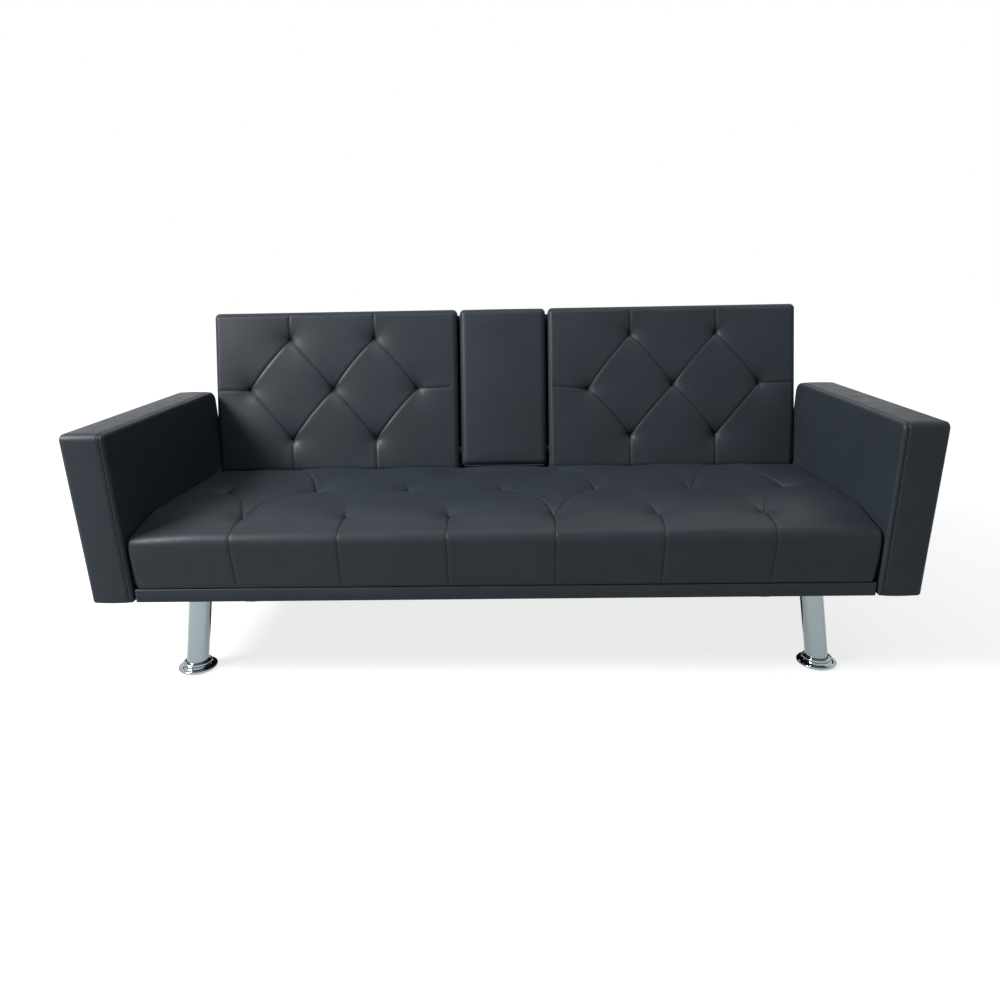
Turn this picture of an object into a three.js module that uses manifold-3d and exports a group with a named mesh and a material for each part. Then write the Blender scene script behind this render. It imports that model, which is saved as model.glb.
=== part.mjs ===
// Click-clack futon sofa bed. Millimetres, +Z up, the front towards -Y, the floor at z = 0.
// Slab arms are bolted to a low timber seat frame on four splayed legs. The backrest turns on
// a hinge at each end, and the console in its middle folds down onto the seat.
import * as THREE from 'three';
import { mergeVertices } from 'three/addons/utils/BufferGeometryUtils.js';
import Module from 'manifold-3d';

const wasm = await Module();
wasm.setup();

// ---------- Driving dimensions ----------
const CLEARANCE = 0.3; // between pieces that touch or turn on each other
const OVERCUT = 5; // how far a cutting shape runs past the faces that it opens
const HEAD_CHAMFER = 1; // on the heads and tips of bolts and pins

// Arms
const OVERALL_WIDTH = 1690;
const ARM_THICKNESS = 84;
const ARM_DEPTH = 575;
const ARM_TOP = 560;
const ARM_BOTTOM = 210;
const ARM_LEAN = 10; // the top stands this much further out than the bottom
const ARM_EDGE = 7; // rounding of the padded edges
const ARM_FRONT_CORNER = 12;
const ARM_REAR_CORNER = 34;
const ARM_FOOT_CORNER = 9;
const ARM_PADDING = 10;
const ARM_CAP = 6; // board that closes the arm's open underside
const ARM_FRAME_RAIL = 78; // height of the arm frame's bottom rail
const ARM_FRAME_POST = 46; // width of its other members
const ARM_WINDOWS = 3;
const ARM_WINDOW_CORNER = 4;
const ARM_BOLT_RADIUS = 4;
const ARM_BOLT_HEAD = 9;
const ARM_BOLT_HEAD_HEIGHT = 5;
const ARM_BOLT_GRIP = 28; // how far a bolt reaches into the arm frame
const ARM_BOLT_SPACING = 260;
const ARM_BOLT_AHEAD = 10; // the bolts' middle stands this far ahead of the seat frame's

// Seat frame
const BASE_BOTTOM = 209;
const BASE_SIDE_GAP = 11; // from the seat frame's side to the foot of an arm
const BASE_DEPTH = 565;
const BAND_HEIGHT = 29;
const BAND_THICKNESS = 9.7;
const SEAT_FRONT = 3; // the seat's front face stands this far behind the arms' front
const DUST_COVER = 1.5;
const RAIL_TOP = 290;
const RAIL_THICKNESS = 25;
const TAIL_TOP = 244; // top of the side rails' low tails, under the reclined back
const LEG_BOARD = 20;
const LEG_BOARD_WIDTH = 94;
const DECK = 9.7;
const TIMBER_EASE = 2; // the sawn members' eased edges
const RAIL_CORNER = 3; // of the side rails
const TAIL_CORNER = 8;
const TAIL_STEP_CORNER = 6;
const SHEET_CORNER = 6; // of the deck, the dust cover and the recess panel
const BAND_CORNER = 3;
const BAND_BEVEL = 2;

// Seat cushion
const CREASE_DEPTH = 526; // from the arms' front to the line where seat and back meet
const SEAT_TOP_REAR = 358;
const SEAT_RISE = 9; // the top's front edge stands this much higher than its rear edge
const SEAT_FRONT_RADIUS = 42;
const SEAT_REAR_RADIUS = 28;
const SEAT_END_RADIUS = 8;
const SEAT_SIDE_GAP = 2.5; // to the arms, where the cushion is widest
const SEAT_BULGE_HEIGHT = 335; // where the cushion is widest
const SEAT_SEAM_GAP = 0.5; // above the band
const SEAT_PITCH = 218;
const SEAT_TUFT_ROW = 300; // the middle row of tufts, from the arms' front
const SEAT_TUFT_RISE = 200; // between rows of tufts
const SEAT_TUFT_REACH = 6; // the middle row's last tuft, in half pitches from the centre
const SEAT_PUFF = 6;
const SEAT_TUFT_DEPTH = 10;
const SEAT_FRONT_CALM = 0.3; // share of the puff that is left on the front face
const SEAT_REAR_ROOM = 60; // the puff dies away this close to the rear edge

// Padding
const FOLD_WIDTH = 26; // over which the padding rises from a sewn fold
const TUFT_WIDTH = 20; // over which it sinks to a tuft
const SKIN_EDGE_ROOM = 36; // the tufting dies away this close to a cushion's free edges

// Legs
const LEG_TUBE_RADIUS = 23.75;
const LEG_TUBE_WALL = 2;
const LEG_SPLAY = 9.4; // degrees, sideways
const LEG_INSET = 80; // from the seat frame's side to the tube's centre at its top
const LEG_FRONT = 119; // front legs' centres, from the arms' front
const LEG_REAR = 48; // rear legs' centres, from the seat frame's rear edge
const LEG_PLATE = 84;
const LEG_PLATE_THICKNESS = 3;
const LEG_PLATE_CORNER = 10;
const LEG_SCREW_RADIUS = 3;
const LEG_SCREW_INSET = 11;
const GLIDE_RADIUS = 37;
const GLIDE_HEIGHT = 2.2;
const FOOT_RADIUS = 42;
const FOOT_RIM = 5.5;
const FOOT_HEIGHT = 13;
const FOOT_EDGE = 2; // rounding under the rim
const FOOT_RIM_EDGE = 1.5; // rounding on the rim
const FOOT_RIM_WIDTH = 5;
const FOOT_SWEEP_WIDTH = 3; // from the rim to the foot of the dome
const FOOT_SWEEP_RISE = 2;
const FOOT_NECK = 6; // from the tube to the dome's shoulder
const FOOT_SHOULDER = 3.5; // below the dome's top
const FOOT_LIP = 3; // from the tube to the dome's top edge
const FOOT_SOCKET_WALL = 2.6;
const FOOT_SOCKET_HEIGHT = 8; // above the dome

// Backrest
const BACK_TILT = 14; // degrees from upright
const BACK_HEIGHT = 410; // along the slope, above the crease
const BACK_THICKNESS = 110;
const BACK_SIDE_GAP = 5; // to the arms, at the crease
const BACK_FRAME = 22.7;
const BACK_COVER = 3;
const BACK_COVER_CORNER = 12;
const BACK_RAIL_WIDTH = 60;
const BACK_POST_WIDTH = 46;
const BACK_BOTTOM_RADIUS = 28;
const BACK_TOP_RADIUS = 14;
const BACK_END_RADIUS = 11;
const BACK_PITCH = 220;
const BACK_TUFT_ROW = 208.5; // the middle row, above the crease along the slope
const BACK_TUFT_RISE = 131.5;
const BACK_TUFT_REACH = 2;
const BACK_TUFT_SHIFT = 6; // the tufts' centre, outwards from the cushion's centre
const BACK_PUFF = 6;
const BACK_TUFT_DEPTH = 11;
const BACK_EDGE_ROOM = 60; // the puff lies flatter this close to the top and bottom edges
const BACK_EDGE_CALM = 0.25;

// Click-clack hinge
const PIVOT_DEPTH = 22; // behind the back's face, and as far under the seat's top when flat
const PIVOT_OVERHANG = 6; // the back reaches this far below its pivot
const SEAT_REAR_GAP = 7; // from the reclined back to the seat
const HINGE_PLATE = 3;
const HINGE_FOOT = 62; // length of the seat plate along the side rail
const HINGE_FOOT_INSET = 8; // from the seat frame's rear rail to that foot
const HINGE_FOOT_RAISE = 2; // from the side rail's low tail to that foot
const HINGE_SHOULDER = 36; // from the foot's front edge to where the arm to the pivot rises
const HINGE_ARM_FRONT = 11; // of that arm, ahead of the pivot
const HINGE_POST_LENGTH = 150; // of the back plate, up the end post
const HINGE_NECK = 20; // of the back plate, between its post and its head
const HINGE_HOUSING_WIDTH = 6.4;
const HINGE_HEAD = 15;
const HINGE_PIN_RADIUS = 5;
const HINGE_PIN_HEAD = 9;
const HINGE_PIN_HEAD_HEIGHT = 3;
const HINGE_PIN_CHAMFER = 1.5;
const STOP_RADIUS = 26; // of the stop pin's path
const STOP_PIN_RADIUS = 4;
const STOP_SLOT_EDGE = 6; // metal outside the slot
const STOP_PIN_PROUD = 2.5; // past the seat plate
const HINGE_SCREW_RADIUS = 3.2;
const HINGE_SCREW_INSET = 12; // from a plate's edge to the centre of a screw hole
const HINGE_NOTCH_ROOM = 1.5; // round the hinge plates, in the cushions

// Console
const CONSOLE_WIDTH = 218;
const CONSOLE_GAP = 9; // to the cushion at each side
const CONSOLE_THICKNESS = 75;
const CONSOLE_BOTTOM = 2; // above the crease, along the slope
const CONSOLE_HEEL_RADIUS = 45; // its lower rear edge, which swings through the recess
const CONSOLE_PIVOT_DEPTH = 22;
const CONSOLE_REST = 374; // height of its face when folded down
const CONSOLE_PAD = 12;
const CONSOLE_WALL = 8.5;
const CONSOLE_PUFF = 3;
const CONSOLE_PIN_RADIUS = 4;
const CONSOLE_PIN_GRIP = 22;
const CONSOLE_PIN_COLLAR = 4; // the collar's height round the pin
const BRACKET = 3;
const BRACKET_HEAD = 11;
const BRACKET_FOOT = 70;
const BRACKET_SCREWS = [30, 56]; // above the pivot
const RECESS_PANEL = 4;
const TRAY_PLATE = 3;
const TRAY_CORNER = 5;
const TRAY_HEEL = 50; // the tray starts this far above the crease
const CUP_RADIUS = 39;
const CUP_DRAFT = 3;
const CUP_DEPTH = 46;
const CUP_WALL = 2.4;
const CUP_ROOM = 1; // round a cup, in the console's core
const CUP_JOINT = 1.5; // how far a cup's wall reaches up into the tray's plate
const CUP_LIP = 0.05; // a cup's mouth is this much narrower than its hole, so that the two join
const CUP_SPACING = 98;
const CUP_FROM_TOP = 78;

// ---------- Derived places ----------
const tilt = THREE.MathUtils.degToRad(BACK_TILT);
const splay = THREE.MathUtils.degToRad(LEG_SPLAY);
const armInner = (z) => OVERALL_WIDTH / 2 - ARM_THICKNESS
  - ARM_LEAN * (ARM_TOP - z) / (ARM_TOP - ARM_BOTTOM);
const baseHalf = armInner(ARM_BOTTOM) - BASE_SIDE_GAP;
const seatHalf = armInner(SEAT_BULGE_HEIGHT) - SEAT_SIDE_GAP;
const backHalf = armInner(SEAT_TOP_REAR) - BACK_SIDE_GAP;
const consoleHalf = CONSOLE_WIDTH / 2;
const cushionInner = consoleHalf + CONSOLE_GAP;

// The hinge's pivot, chosen so that the back's face lies level with the seat's rear edge when flat.
const pivotSlope = -PIVOT_DEPTH * (1 - Math.sin(tilt)) / Math.cos(tilt);
const pivot = new THREE.Vector2(
  CREASE_DEPTH + pivotSlope * Math.sin(tilt) + PIVOT_DEPTH * Math.cos(tilt),
  SEAT_TOP_REAR + pivotSlope * Math.cos(tilt) - PIVOT_DEPTH * Math.sin(tilt),
);
const backBottom = pivotSlope - PIVOT_OVERHANG;
const seatRear = pivot.x - PIVOT_OVERHANG - SEAT_REAR_GAP;
const frontRail = SEAT_FRONT + BAND_THICKNESS + CLEARANCE;
const timberBottom = BASE_BOTTOM + 2 * CLEARANCE + DUST_COVER;
const legBoardTop = timberBottom + LEG_BOARD;
const deckBottom = RAIL_TOP + CLEARANCE;
const deckTop = deckBottom + DECK;
const legTop = BASE_BOTTOM + CLEARANCE;
const overallDepth = CREASE_DEPTH + BACK_HEIGHT * Math.sin(tilt) + BACK_THICKNESS * Math.cos(tilt);

// The layers of a hinge, outwards from the back's end post.
const postOuter = baseHalf - HINGE_HOUSING_WIDTH - HINGE_PLATE - 3 * CLEARANCE;
const backPlateInner = postOuter + CLEARANCE;
const housingInner = backPlateInner + HINGE_PLATE + CLEARANCE;
const seatPlateInner = baseHalf + CLEARANCE;
const seatPlateOuter = seatPlateInner + HINGE_PLATE;

// Depths in the backrest, behind its face.
const frameFront = BACK_THICKNESS - BACK_COVER - CLEARANCE - BACK_FRAME;
const frameRear = frameFront + BACK_FRAME;
const cushionRear = frameFront - CLEARANCE;
const backRailTop = backBottom + BACK_COVER + CLEARANCE + BACK_RAIL_WIDTH;

// The console's pivot, chosen so that its face lies at CONSOLE_REST when folded down.
const consolePivot = (CONSOLE_REST - SEAT_TOP_REAR + CONSOLE_PIVOT_DEPTH * (1 + Math.sin(tilt)))
  / Math.cos(tilt);

// ---------- Materials ----------
const leather = new THREE.MeshStandardMaterial({ color: 0x23282e, roughness: 0.5, metalness: 0 });
const chrome = new THREE.MeshStandardMaterial({ color: 0xc9ced3, roughness: 0.1, metalness: 1 });
const zincSteel = new THREE.MeshStandardMaterial({ color: 0x9a9da0, roughness: 0.4, metalness: 1 });
const timber = new THREE.MeshStandardMaterial({ color: 0xb89b6c, roughness: 0.8, metalness: 0 });
const plywood = new THREE.MeshStandardMaterial({ color: 0xc4a877, roughness: 0.8, metalness: 0 });
const blackPlastic = new THREE.MeshStandardMaterial({ color: 0x18191b, roughness: 0.6, metalness: 0 });
const liningCloth = new THREE.MeshStandardMaterial({ color: 0x1c1d1f, roughness: 0.95, metalness: 0 });

// ---------- Geometry helpers ----------
function signedVolume(geometry) {
  const p = geometry.attributes.position;
  const index = geometry.index;
  const count = index ? index.count : p.count;
  const corner = (i) => new THREE.Vector3().fromBufferAttribute(p, index ? index.getX(i) : i);
  let sum = 0;
  for (let i = 0; i < count; i += 3) sum += corner(i).dot(corner(i + 1).cross(corner(i + 2)));
  return sum / 6;
}

// Turns every triangle over where a mirror or a lathe has left the faces pointing in.
function facingOut(geometry) {
  const g = geometry.index ? geometry.toNonIndexed() : geometry;
  if (signedVolume(g) < 0) {
    const a = g.attributes.position.array;
    for (let i = 0; i < a.length; i += 9) {
      for (let k = 0; k < 3; k += 1) [a[i + k], a[i + 3 + k]] = [a[i + 3 + k], a[i + k]];
    }
  }
  g.computeVertexNormals();
  return g;
}

function toSolid(geometry) {
  const g = facingOut(geometry).clone();
  g.deleteAttribute('normal');
  g.deleteAttribute('uv');
  const merged = mergeVertices(g, 1e-3);
  return new wasm.Manifold(new wasm.Mesh({
    numProp: 3,
    vertProperties: new Float32Array(merged.attributes.position.array),
    triVerts: new Uint32Array(merged.index.array),
  }));
}

function toGeometry(solid) {
  const mesh = solid.getMesh();
  const g = new THREE.BufferGeometry();
  g.setAttribute('position', new THREE.BufferAttribute(new Float32Array(mesh.vertProperties), 3));
  g.setIndex(new THREE.BufferAttribute(new Uint32Array(mesh.triVerts), 1));
  return g;
}

function cut(geometry, ...tools) {
  return toGeometry(tools.reduce((solid, tool) => solid.subtract(toSolid(tool)), toSolid(geometry)));
}

function join(geometry, ...others) {
  return toGeometry(others.reduce((solid, other) => solid.add(toSolid(other)), toSolid(geometry)));
}

function mirrored(geometry, side) {
  return geometry.clone().scale(side, 1, 1);
}

// Draws straight lines between corners [a, b, radius]. A corner with a radius becomes a round one:
// a true arc, or arcSteps short chords where that is given.
function trace(path, corners, closed, arcSteps = 0) {
  const n = corners.length;
  corners.forEach(([a, b, radius = 0], i) => {
    const here = new THREE.Vector2(a, b);
    const inside = closed || (i > 0 && i < n - 1);
    if (!radius || !inside) {
      if (i === 0) path.moveTo(a, b);
      else path.lineTo(a, b);
      return;
    }
    const before = new THREE.Vector2(...corners[(i + n - 1) % n]).sub(here).normalize();
    const after = new THREE.Vector2(...corners[(i + 1) % n]).sub(here).normalize();
    const half = Math.acos(before.dot(after)) / 2;
    const start = here.clone().addScaledVector(before, radius / Math.tan(half));
    const end = here.clone().addScaledVector(after, radius / Math.tan(half));
    const inward = before.clone().add(after).normalize();
    const centre = here.clone().addScaledVector(inward, radius / Math.sin(half));
    const arms = [start.clone().sub(centre), end.clone().sub(centre)];
    if (i === 0) path.moveTo(start.x, start.y);
    else path.lineTo(start.x, start.y);
    if (!arcSteps) {
      path.absarc(centre.x, centre.y, radius, arms[0].angle(), arms[1].angle(), before.cross(after) > 0);
      return;
    }
    for (let k = 1; k <= arcSteps; k += 1) {
      const t = k / arcSteps;
      const arm = arms[0].clone().multiplyScalar(1 - t).addScaledVector(arms[1], t).setLength(radius);
      path.lineTo(centre.x + arm.x, centre.y + arm.y);
    }
  });
  if (closed) path.closePath();
  return path;
}

const outline = (corners, arcSteps = 3) => trace(new THREE.Shape(), corners, true, arcSteps);

function rectangle(a0, a1, b0, b1, radius = 0, arcSteps = 3) {
  return outline([[a0, b0, radius], [a1, b0, radius], [a1, b1, radius], [a0, b1, radius]], arcSteps);
}

function circleHole(a, b, radius) {
  return new THREE.Path().absarc(a, b, radius, 0, 2 * Math.PI, true);
}

const axisX = new THREE.Vector3(1, 0, 0);
const axisY = new THREE.Vector3(0, 1, 0);
const axisZ = new THREE.Vector3(0, 0, 1);

function extrude(shape, depth, bevel, curveSegments) { // a hole has twice curveSegments sides
  const g = new THREE.ExtrudeGeometry(shape, {
    depth: depth - 2 * bevel,
    bevelEnabled: bevel > 0,
    bevelThickness: bevel,
    bevelSize: bevel,
    bevelOffset: -bevel,
    bevelSegments: 2,
    curveSegments,
  });
  return g.translate(0, 0, bevel);
}

// A shape drawn in (y, z), carried from x0 to x1.
function alongX(shape, x0, x1, bevel = 0, curveSegments = 5) {
  const turn = new THREE.Matrix4().makeBasis(axisY, axisZ, axisX);
  return extrude(shape, x1 - x0, bevel, curveSegments).applyMatrix4(turn).translate(x0, 0, 0);
}

// A shape drawn in (x, z), carried from y0 to y1.
function alongY(shape, y0, y1, bevel = 0, curveSegments = 5) {
  const turn = new THREE.Matrix4().makeBasis(axisX, axisZ, axisY.clone().negate());
  return extrude(shape, y1 - y0, bevel, curveSegments).applyMatrix4(turn).translate(0, y1, 0);
}

// A shape drawn in (x, y), carried from z0 to z1.
function alongZ(shape, z0, z1, bevel = 0, curveSegments = 5) {
  return extrude(shape, z1 - z0, bevel, curveSegments).translate(0, 0, z0);
}

// A turned piece: its profile [radius, height] revolved about +Z.
function turned(profile, segments = 16) {
  const points = profile.map(([radius, height]) => new THREE.Vector2(radius, height));
  return new THREE.LatheGeometry(points, segments).rotateX(Math.PI / 2);
}

// A plain round bar along X.
function barX(x0, x1, y, z, radius, segments = 12) {
  return new THREE.CylinderGeometry(radius, radius, x1 - x0, segments)
    .rotateZ(Math.PI / 2).translate((x0 + x1) / 2, y, z);
}

// A sawn timber member with eased edges, drawn across its longest side.
function timberBoard(x0, x1, y0, y1, z0, z1) {
  const eased = TIMBER_EASE;
  const longest = Math.max(x1 - x0, y1 - y0, z1 - z0);
  const section = (a0, a1, b0, b1) => outline([
    [a0 + eased, b0], [a1 - eased, b0], [a1, b0 + eased], [a1, b1 - eased],
    [a1 - eased, b1], [a0 + eased, b1], [a0, b1 - eased], [a0, b0 + eased],
  ]);
  if (longest === x1 - x0) return alongX(section(y0, y1, z0, z1), x0, x1);
  if (longest === y1 - y0) return alongY(section(x0, x1, z0, z1), y0, y1);
  return alongZ(section(x0, x1, y0, y1), z0, z1);
}

// ---------- Tufting ----------
// Tufts stand in three rows: the middle row at even half pitches, the others at odd ones. Sewn folds
// run in diamonds between them, straight on to the near edges, and sideways from the outermost ones.
function tuftPattern({ centre, pitch, row, rise, reach, sideEdge, frontEdge, rearEdge }) {
  const tufts = [];
  const folds = [];
  const half = pitch / 2;
  const place = (k, level) => new THREE.Vector2(centre + k * half, row + level * rise);
  for (let k = -reach; k <= reach; k += 2) tufts.push(place(k, 0));
  for (let k = 1 - reach; k < reach; k += 2) {
    for (const level of [-1, 1]) {
      const tuft = place(k, level);
      tufts.push(tuft);
      folds.push([tuft, place(k - 1, 0)], [tuft, place(k + 1, 0)]);
      folds.push([tuft, new THREE.Vector2(tuft.x, level < 0 ? frontEdge : rearEdge)]);
    }
  }
  for (const end of [-1, 1]) {
    folds.push([place(end * reach, 0), new THREE.Vector2(centre + end * sideEdge, row)]);
  }
  return { tufts, folds };
}

function distanceToFold(point, [a, b]) {
  const along = b.clone().sub(a);
  const t = THREE.MathUtils.clamp(point.clone().sub(a).dot(along) / along.lengthSq(), 0, 1);
  return point.distanceTo(a.clone().addScaledVector(along, t));
}

// How far the padding stands out at a place: nothing on a fold, full between, pulled in at a tuft.
function tuftRelief(pattern, puff, tuftDepth) {
  return (x, v) => {
    const point = new THREE.Vector2(x, v);
    const fold = Math.min(...pattern.folds.map((f) => distanceToFold(point, f)));
    const tuft = Math.min(...pattern.tufts.map((t) => point.distanceTo(t)));
    return puff * (1 - Math.exp(-fold / FOLD_WIDTH)) - tuftDepth * Math.exp(-tuft / TUFT_WIDTH);
  };
}

// ---------- Padded forms ----------
// The skin runs along an open path of corners in (depth, height), counter-clockwise seen from +X, and
// across the columns. Its ends roll in by endRadius. inner lists the corners of the hollow side.
function paddedForm({ corners, inner, columns, half, centre, endRadius, rows, offset, relief, taper }) {
  const curves = trace(new THREE.Path(), corners, false).curves.filter((c) => c.getLength() > CLEARANCE);
  const lengths = curves.map((_, k) => curves.slice(0, k + 1).reduce((sum, c) => sum + c.getLength(), 0));
  const length = lengths.at(-1);
  const stations = rows(lengths, offset);
  const endSteps = 3;
  const across = [...columns.map((x) => ({ x, inset: 0 }))];
  for (let k = 0; k <= endSteps; k += 1) {
    const turn = (k / endSteps) * Math.PI / 2;
    const x = half - endRadius * (1 - Math.sin(turn));
    const inset = endRadius * (1 - Math.cos(turn));
    across.push({ x: centre + x, inset }, { x: centre - x, inset });
  }
  across.sort((a, b) => a.x - b.x || b.inset - a.inset);
  const place = (column, distance) => {
    const found = lengths.findIndex((reached) => distance <= reached + 1e-6);
    const curve = curves[found];
    const t = THREE.MathUtils.clamp(1 - (lengths[found] - distance) / curve.getLength(), 0, 1);
    const point = curve.getPoint(t);
    const along = curve.getTangent(t);
    const edge = Math.min(distance, length - distance, half - Math.abs(column.x - centre));
    const fade = THREE.MathUtils.smoothstep(edge, 0, SKIN_EDGE_ROOM);
    const out = relief(column.x, offset - distance) * fade - column.inset;
    const y = point.x + along.y * out;
    const z = point.y - along.x * out;
    return new THREE.Vector3(centre + (column.x - centre) * taper(z), y, z);
  };
  const last = stations.length - 1;
  const right = across.length - 1;
  const skin = across.map((column) => stations.map((distance) => place(column, distance)));
  const ends = [across[0], across[right]].map((column) => inner.map(([y, z]) => (
    new THREE.Vector3(centre + (column.x - centre) * taper(z), y, z))));
  const triangles = [];
  const face = (a, b, c) => triangles.push(a, b, c);
  for (let i = 0; i < right; i += 1) {
    for (let j = 0; j < last; j += 1) {
      const [a, b, c, d] = [skin[i][j], skin[i][j + 1], skin[i + 1][j + 1], skin[i + 1][j]];
      const middle = place(
        { x: (across[i].x + across[i + 1].x) / 2, inset: (across[i].inset + across[i + 1].inset) / 2 },
        (stations[j] + stations[j + 1]) / 2,
      );
      const viaAC = a.clone().add(c).multiplyScalar(0.5).distanceTo(middle);
      const viaBD = b.clone().add(d).multiplyScalar(0.5).distanceTo(middle);
      if (viaAC <= viaBD) {
        face(a, b, c);
        face(a, c, d);
      } else {
        face(a, b, d);
        face(b, c, d);
      }
    }
  }
  // The hollow side: a fan from its first and last corners to the skin's edges, plain faces between.
  const [leftEnd, rightEnd] = ends;
  const half1 = Math.floor(right / 2);
  const close = (row, l, r, ahead) => {
    for (let i = 0; i < right; i += 1) {
      const apex = i < half1 ? l : r;
      if (ahead) face(skin[i][row], apex, skin[i + 1][row]);
      else face(skin[i + 1][row], apex, skin[i][row]);
    }
    if (ahead) face(skin[half1][row], l, r);
    else face(skin[half1][row], r, l);
  };
  if (inner.length) {
    close(last, leftEnd[0], rightEnd[0], true);
    for (let k = 0; k + 1 < inner.length; k += 1) {
      face(leftEnd[k], leftEnd[k + 1], rightEnd[k + 1]);
      face(leftEnd[k], rightEnd[k + 1], rightEnd[k]);
    }
    close(0, leftEnd.at(-1), rightEnd.at(-1), false);
  } else {
    for (let i = 0; i < right; i += 1) {
      face(skin[i][last], skin[i][0], skin[i + 1][0]);
      face(skin[i][last], skin[i + 1][0], skin[i + 1][last]);
    }
  }
  [[skin[0], leftEnd, -1], [skin[right], rightEnd, 1]].forEach(([rim, hollow, side]) => {
    const loop = [...rim, ...hollow];
    const flat = loop.map((p) => new THREE.Vector2(p.y, p.z));
    THREE.ShapeUtils.triangulateShape(flat, []).forEach(([i, j, k]) => {
      const turn = flat[j].clone().sub(flat[i]).cross(flat[k].clone().sub(flat[i]));
      if (turn * side > 0) face(loop[i], loop[j], loop[k]);
      else face(loop[i], loop[k], loop[j]);
    });
  });
  const g = new THREE.BufferGeometry();
  g.setAttribute('position', new THREE.Float32BufferAttribute(triangles.flatMap((p) => p.toArray()), 3));
  return g;
}

// Splits a stretch into equal steps, leaving out its first end.
function steps(from, to, count) {
  return Array.from({ length: count }, (_, k) => from + (to - from) * (k + 1) / count);
}

// Columns at equal divisions of the pitch that keep clear of the rolled ends.
function tuftColumns(centre, pitch, divisions, half, endRadius, middle = centre) {
  const step = pitch / divisions;
  const list = [];
  for (let k = -100; k <= 100; k += 1) {
    const x = centre + k * step;
    if (Math.abs(x - middle) < half - endRadius - step / 2) list.push(x);
  }
  return list;
}

// ---------- The object ----------
const sofa = new THREE.Group();
sofa.position.y = -overallDepth / 2;

const backrest = new THREE.Group();
backrest.position.set(0, CREASE_DEPTH, SEAT_TOP_REAR);
backrest.rotation.x = -tilt;
sofa.add(backrest);

function piece(name, geometry, material, group = sofa) {
  const mesh = new THREE.Mesh(facingOut(geometry), material);
  mesh.name = name;
  group.add(mesh);
  return mesh;
}

const sides = [['left', -1], ['right', 1]];

// The padding lies flatter near an edge: its relief grows from share to all over room.
function calmed(distance, room, share) {
  return THREE.MathUtils.lerp(share, 1, THREE.MathUtils.smoothstep(distance, 0, room));
}

// ---------- Seat frame ----------
const railInner = baseHalf - RAIL_THICKNESS;
const rearRail = seatRear - RAIL_THICKNESS;
const legRearY = BASE_DEPTH - LEG_REAR;
const legRows = [['front', LEG_FRONT], ['rear', legRearY]];
const boltHeight = (BASE_BOTTOM + BAND_HEIGHT + RAIL_TOP) / 2;
const boltDepths = [-0.5, 0.5].map((k) => (frontRail + rearRail) / 2 - ARM_BOLT_AHEAD + k * ARM_BOLT_SPACING);

function addSeatFrame() {
  const between = railInner - CLEARANCE;
  piece('front_rail', timberBoard(
    -between, between, frontRail, frontRail + RAIL_THICKNESS, timberBottom, RAIL_TOP,
  ), timber);
  piece('rear_rail', timberBoard(
    -between, between, rearRail, seatRear, legBoardTop + CLEARANCE, RAIL_TOP,
  ), timber);
  const sideProfile = outline([
    [frontRail, timberBottom, RAIL_CORNER], [BASE_DEPTH, timberBottom, RAIL_CORNER],
    [BASE_DEPTH, TAIL_TOP, TAIL_CORNER], [seatRear, TAIL_TOP, TAIL_STEP_CORNER],
    [seatRear, RAIL_TOP, RAIL_CORNER], [frontRail, RAIL_TOP, RAIL_CORNER],
  ]);
  sides.forEach(([side, sign]) => {
    const bores = boltDepths.map((y) => (
      barX(railInner - OVERCUT, baseHalf + OVERCUT, y, boltHeight, ARM_BOLT_RADIUS + CLEARANCE)));
    const rail = cut(alongX(sideProfile, railInner, baseHalf), ...bores);
    piece(`side_rail_${side}`, mirrored(rail, sign), timber);
  });
  legRows.forEach(([row, y]) => {
    const y0 = y - LEG_BOARD_WIDTH / 2;
    piece(`leg_board_${row}`, timberBoard(
      -between, between, y0, y0 + LEG_BOARD_WIDTH, timberBottom, legBoardTop,
    ), timber);
  });
  piece('centre_beam', timberBoard(
    -RAIL_THICKNESS / 2, RAIL_THICKNESS / 2, frontRail + RAIL_THICKNESS + CLEARANCE,
    rearRail - CLEARANCE, legBoardTop + CLEARANCE, RAIL_TOP,
  ), timber);
  piece('seat_deck', alongZ(
    rectangle(-baseHalf, baseHalf, frontRail, seatRear, SHEET_CORNER), deckBottom, deckTop,
  ), plywood);
  piece('dust_cover', alongZ(
    rectangle(-baseHalf, baseHalf, frontRail, BASE_DEPTH, SHEET_CORNER),
    BASE_BOTTOM + 2 * CLEARANCE, timberBottom - CLEARANCE,
  ), liningCloth);
  const band = rectangle(
    SEAT_FRONT, SEAT_FRONT + BAND_THICKNESS, BASE_BOTTOM, BASE_BOTTOM + BAND_HEIGHT, BAND_CORNER,
  );
  piece('seat_band', alongX(band, -baseHalf, baseHalf, BAND_BEVEL), leather);
}

// ---------- Seat cushion ----------
const seatFrontBottom = BASE_BOTTOM + BAND_HEIGHT + SEAT_SEAM_GAP;

function seatTaper(z) {
  const low = baseHalf / seatHalf;
  return z >= SEAT_BULGE_HEIGHT ? 1
    : low + (1 - low) * Math.sqrt((z - seatFrontBottom) / (SEAT_BULGE_HEIGHT - seatFrontBottom));
}

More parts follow.
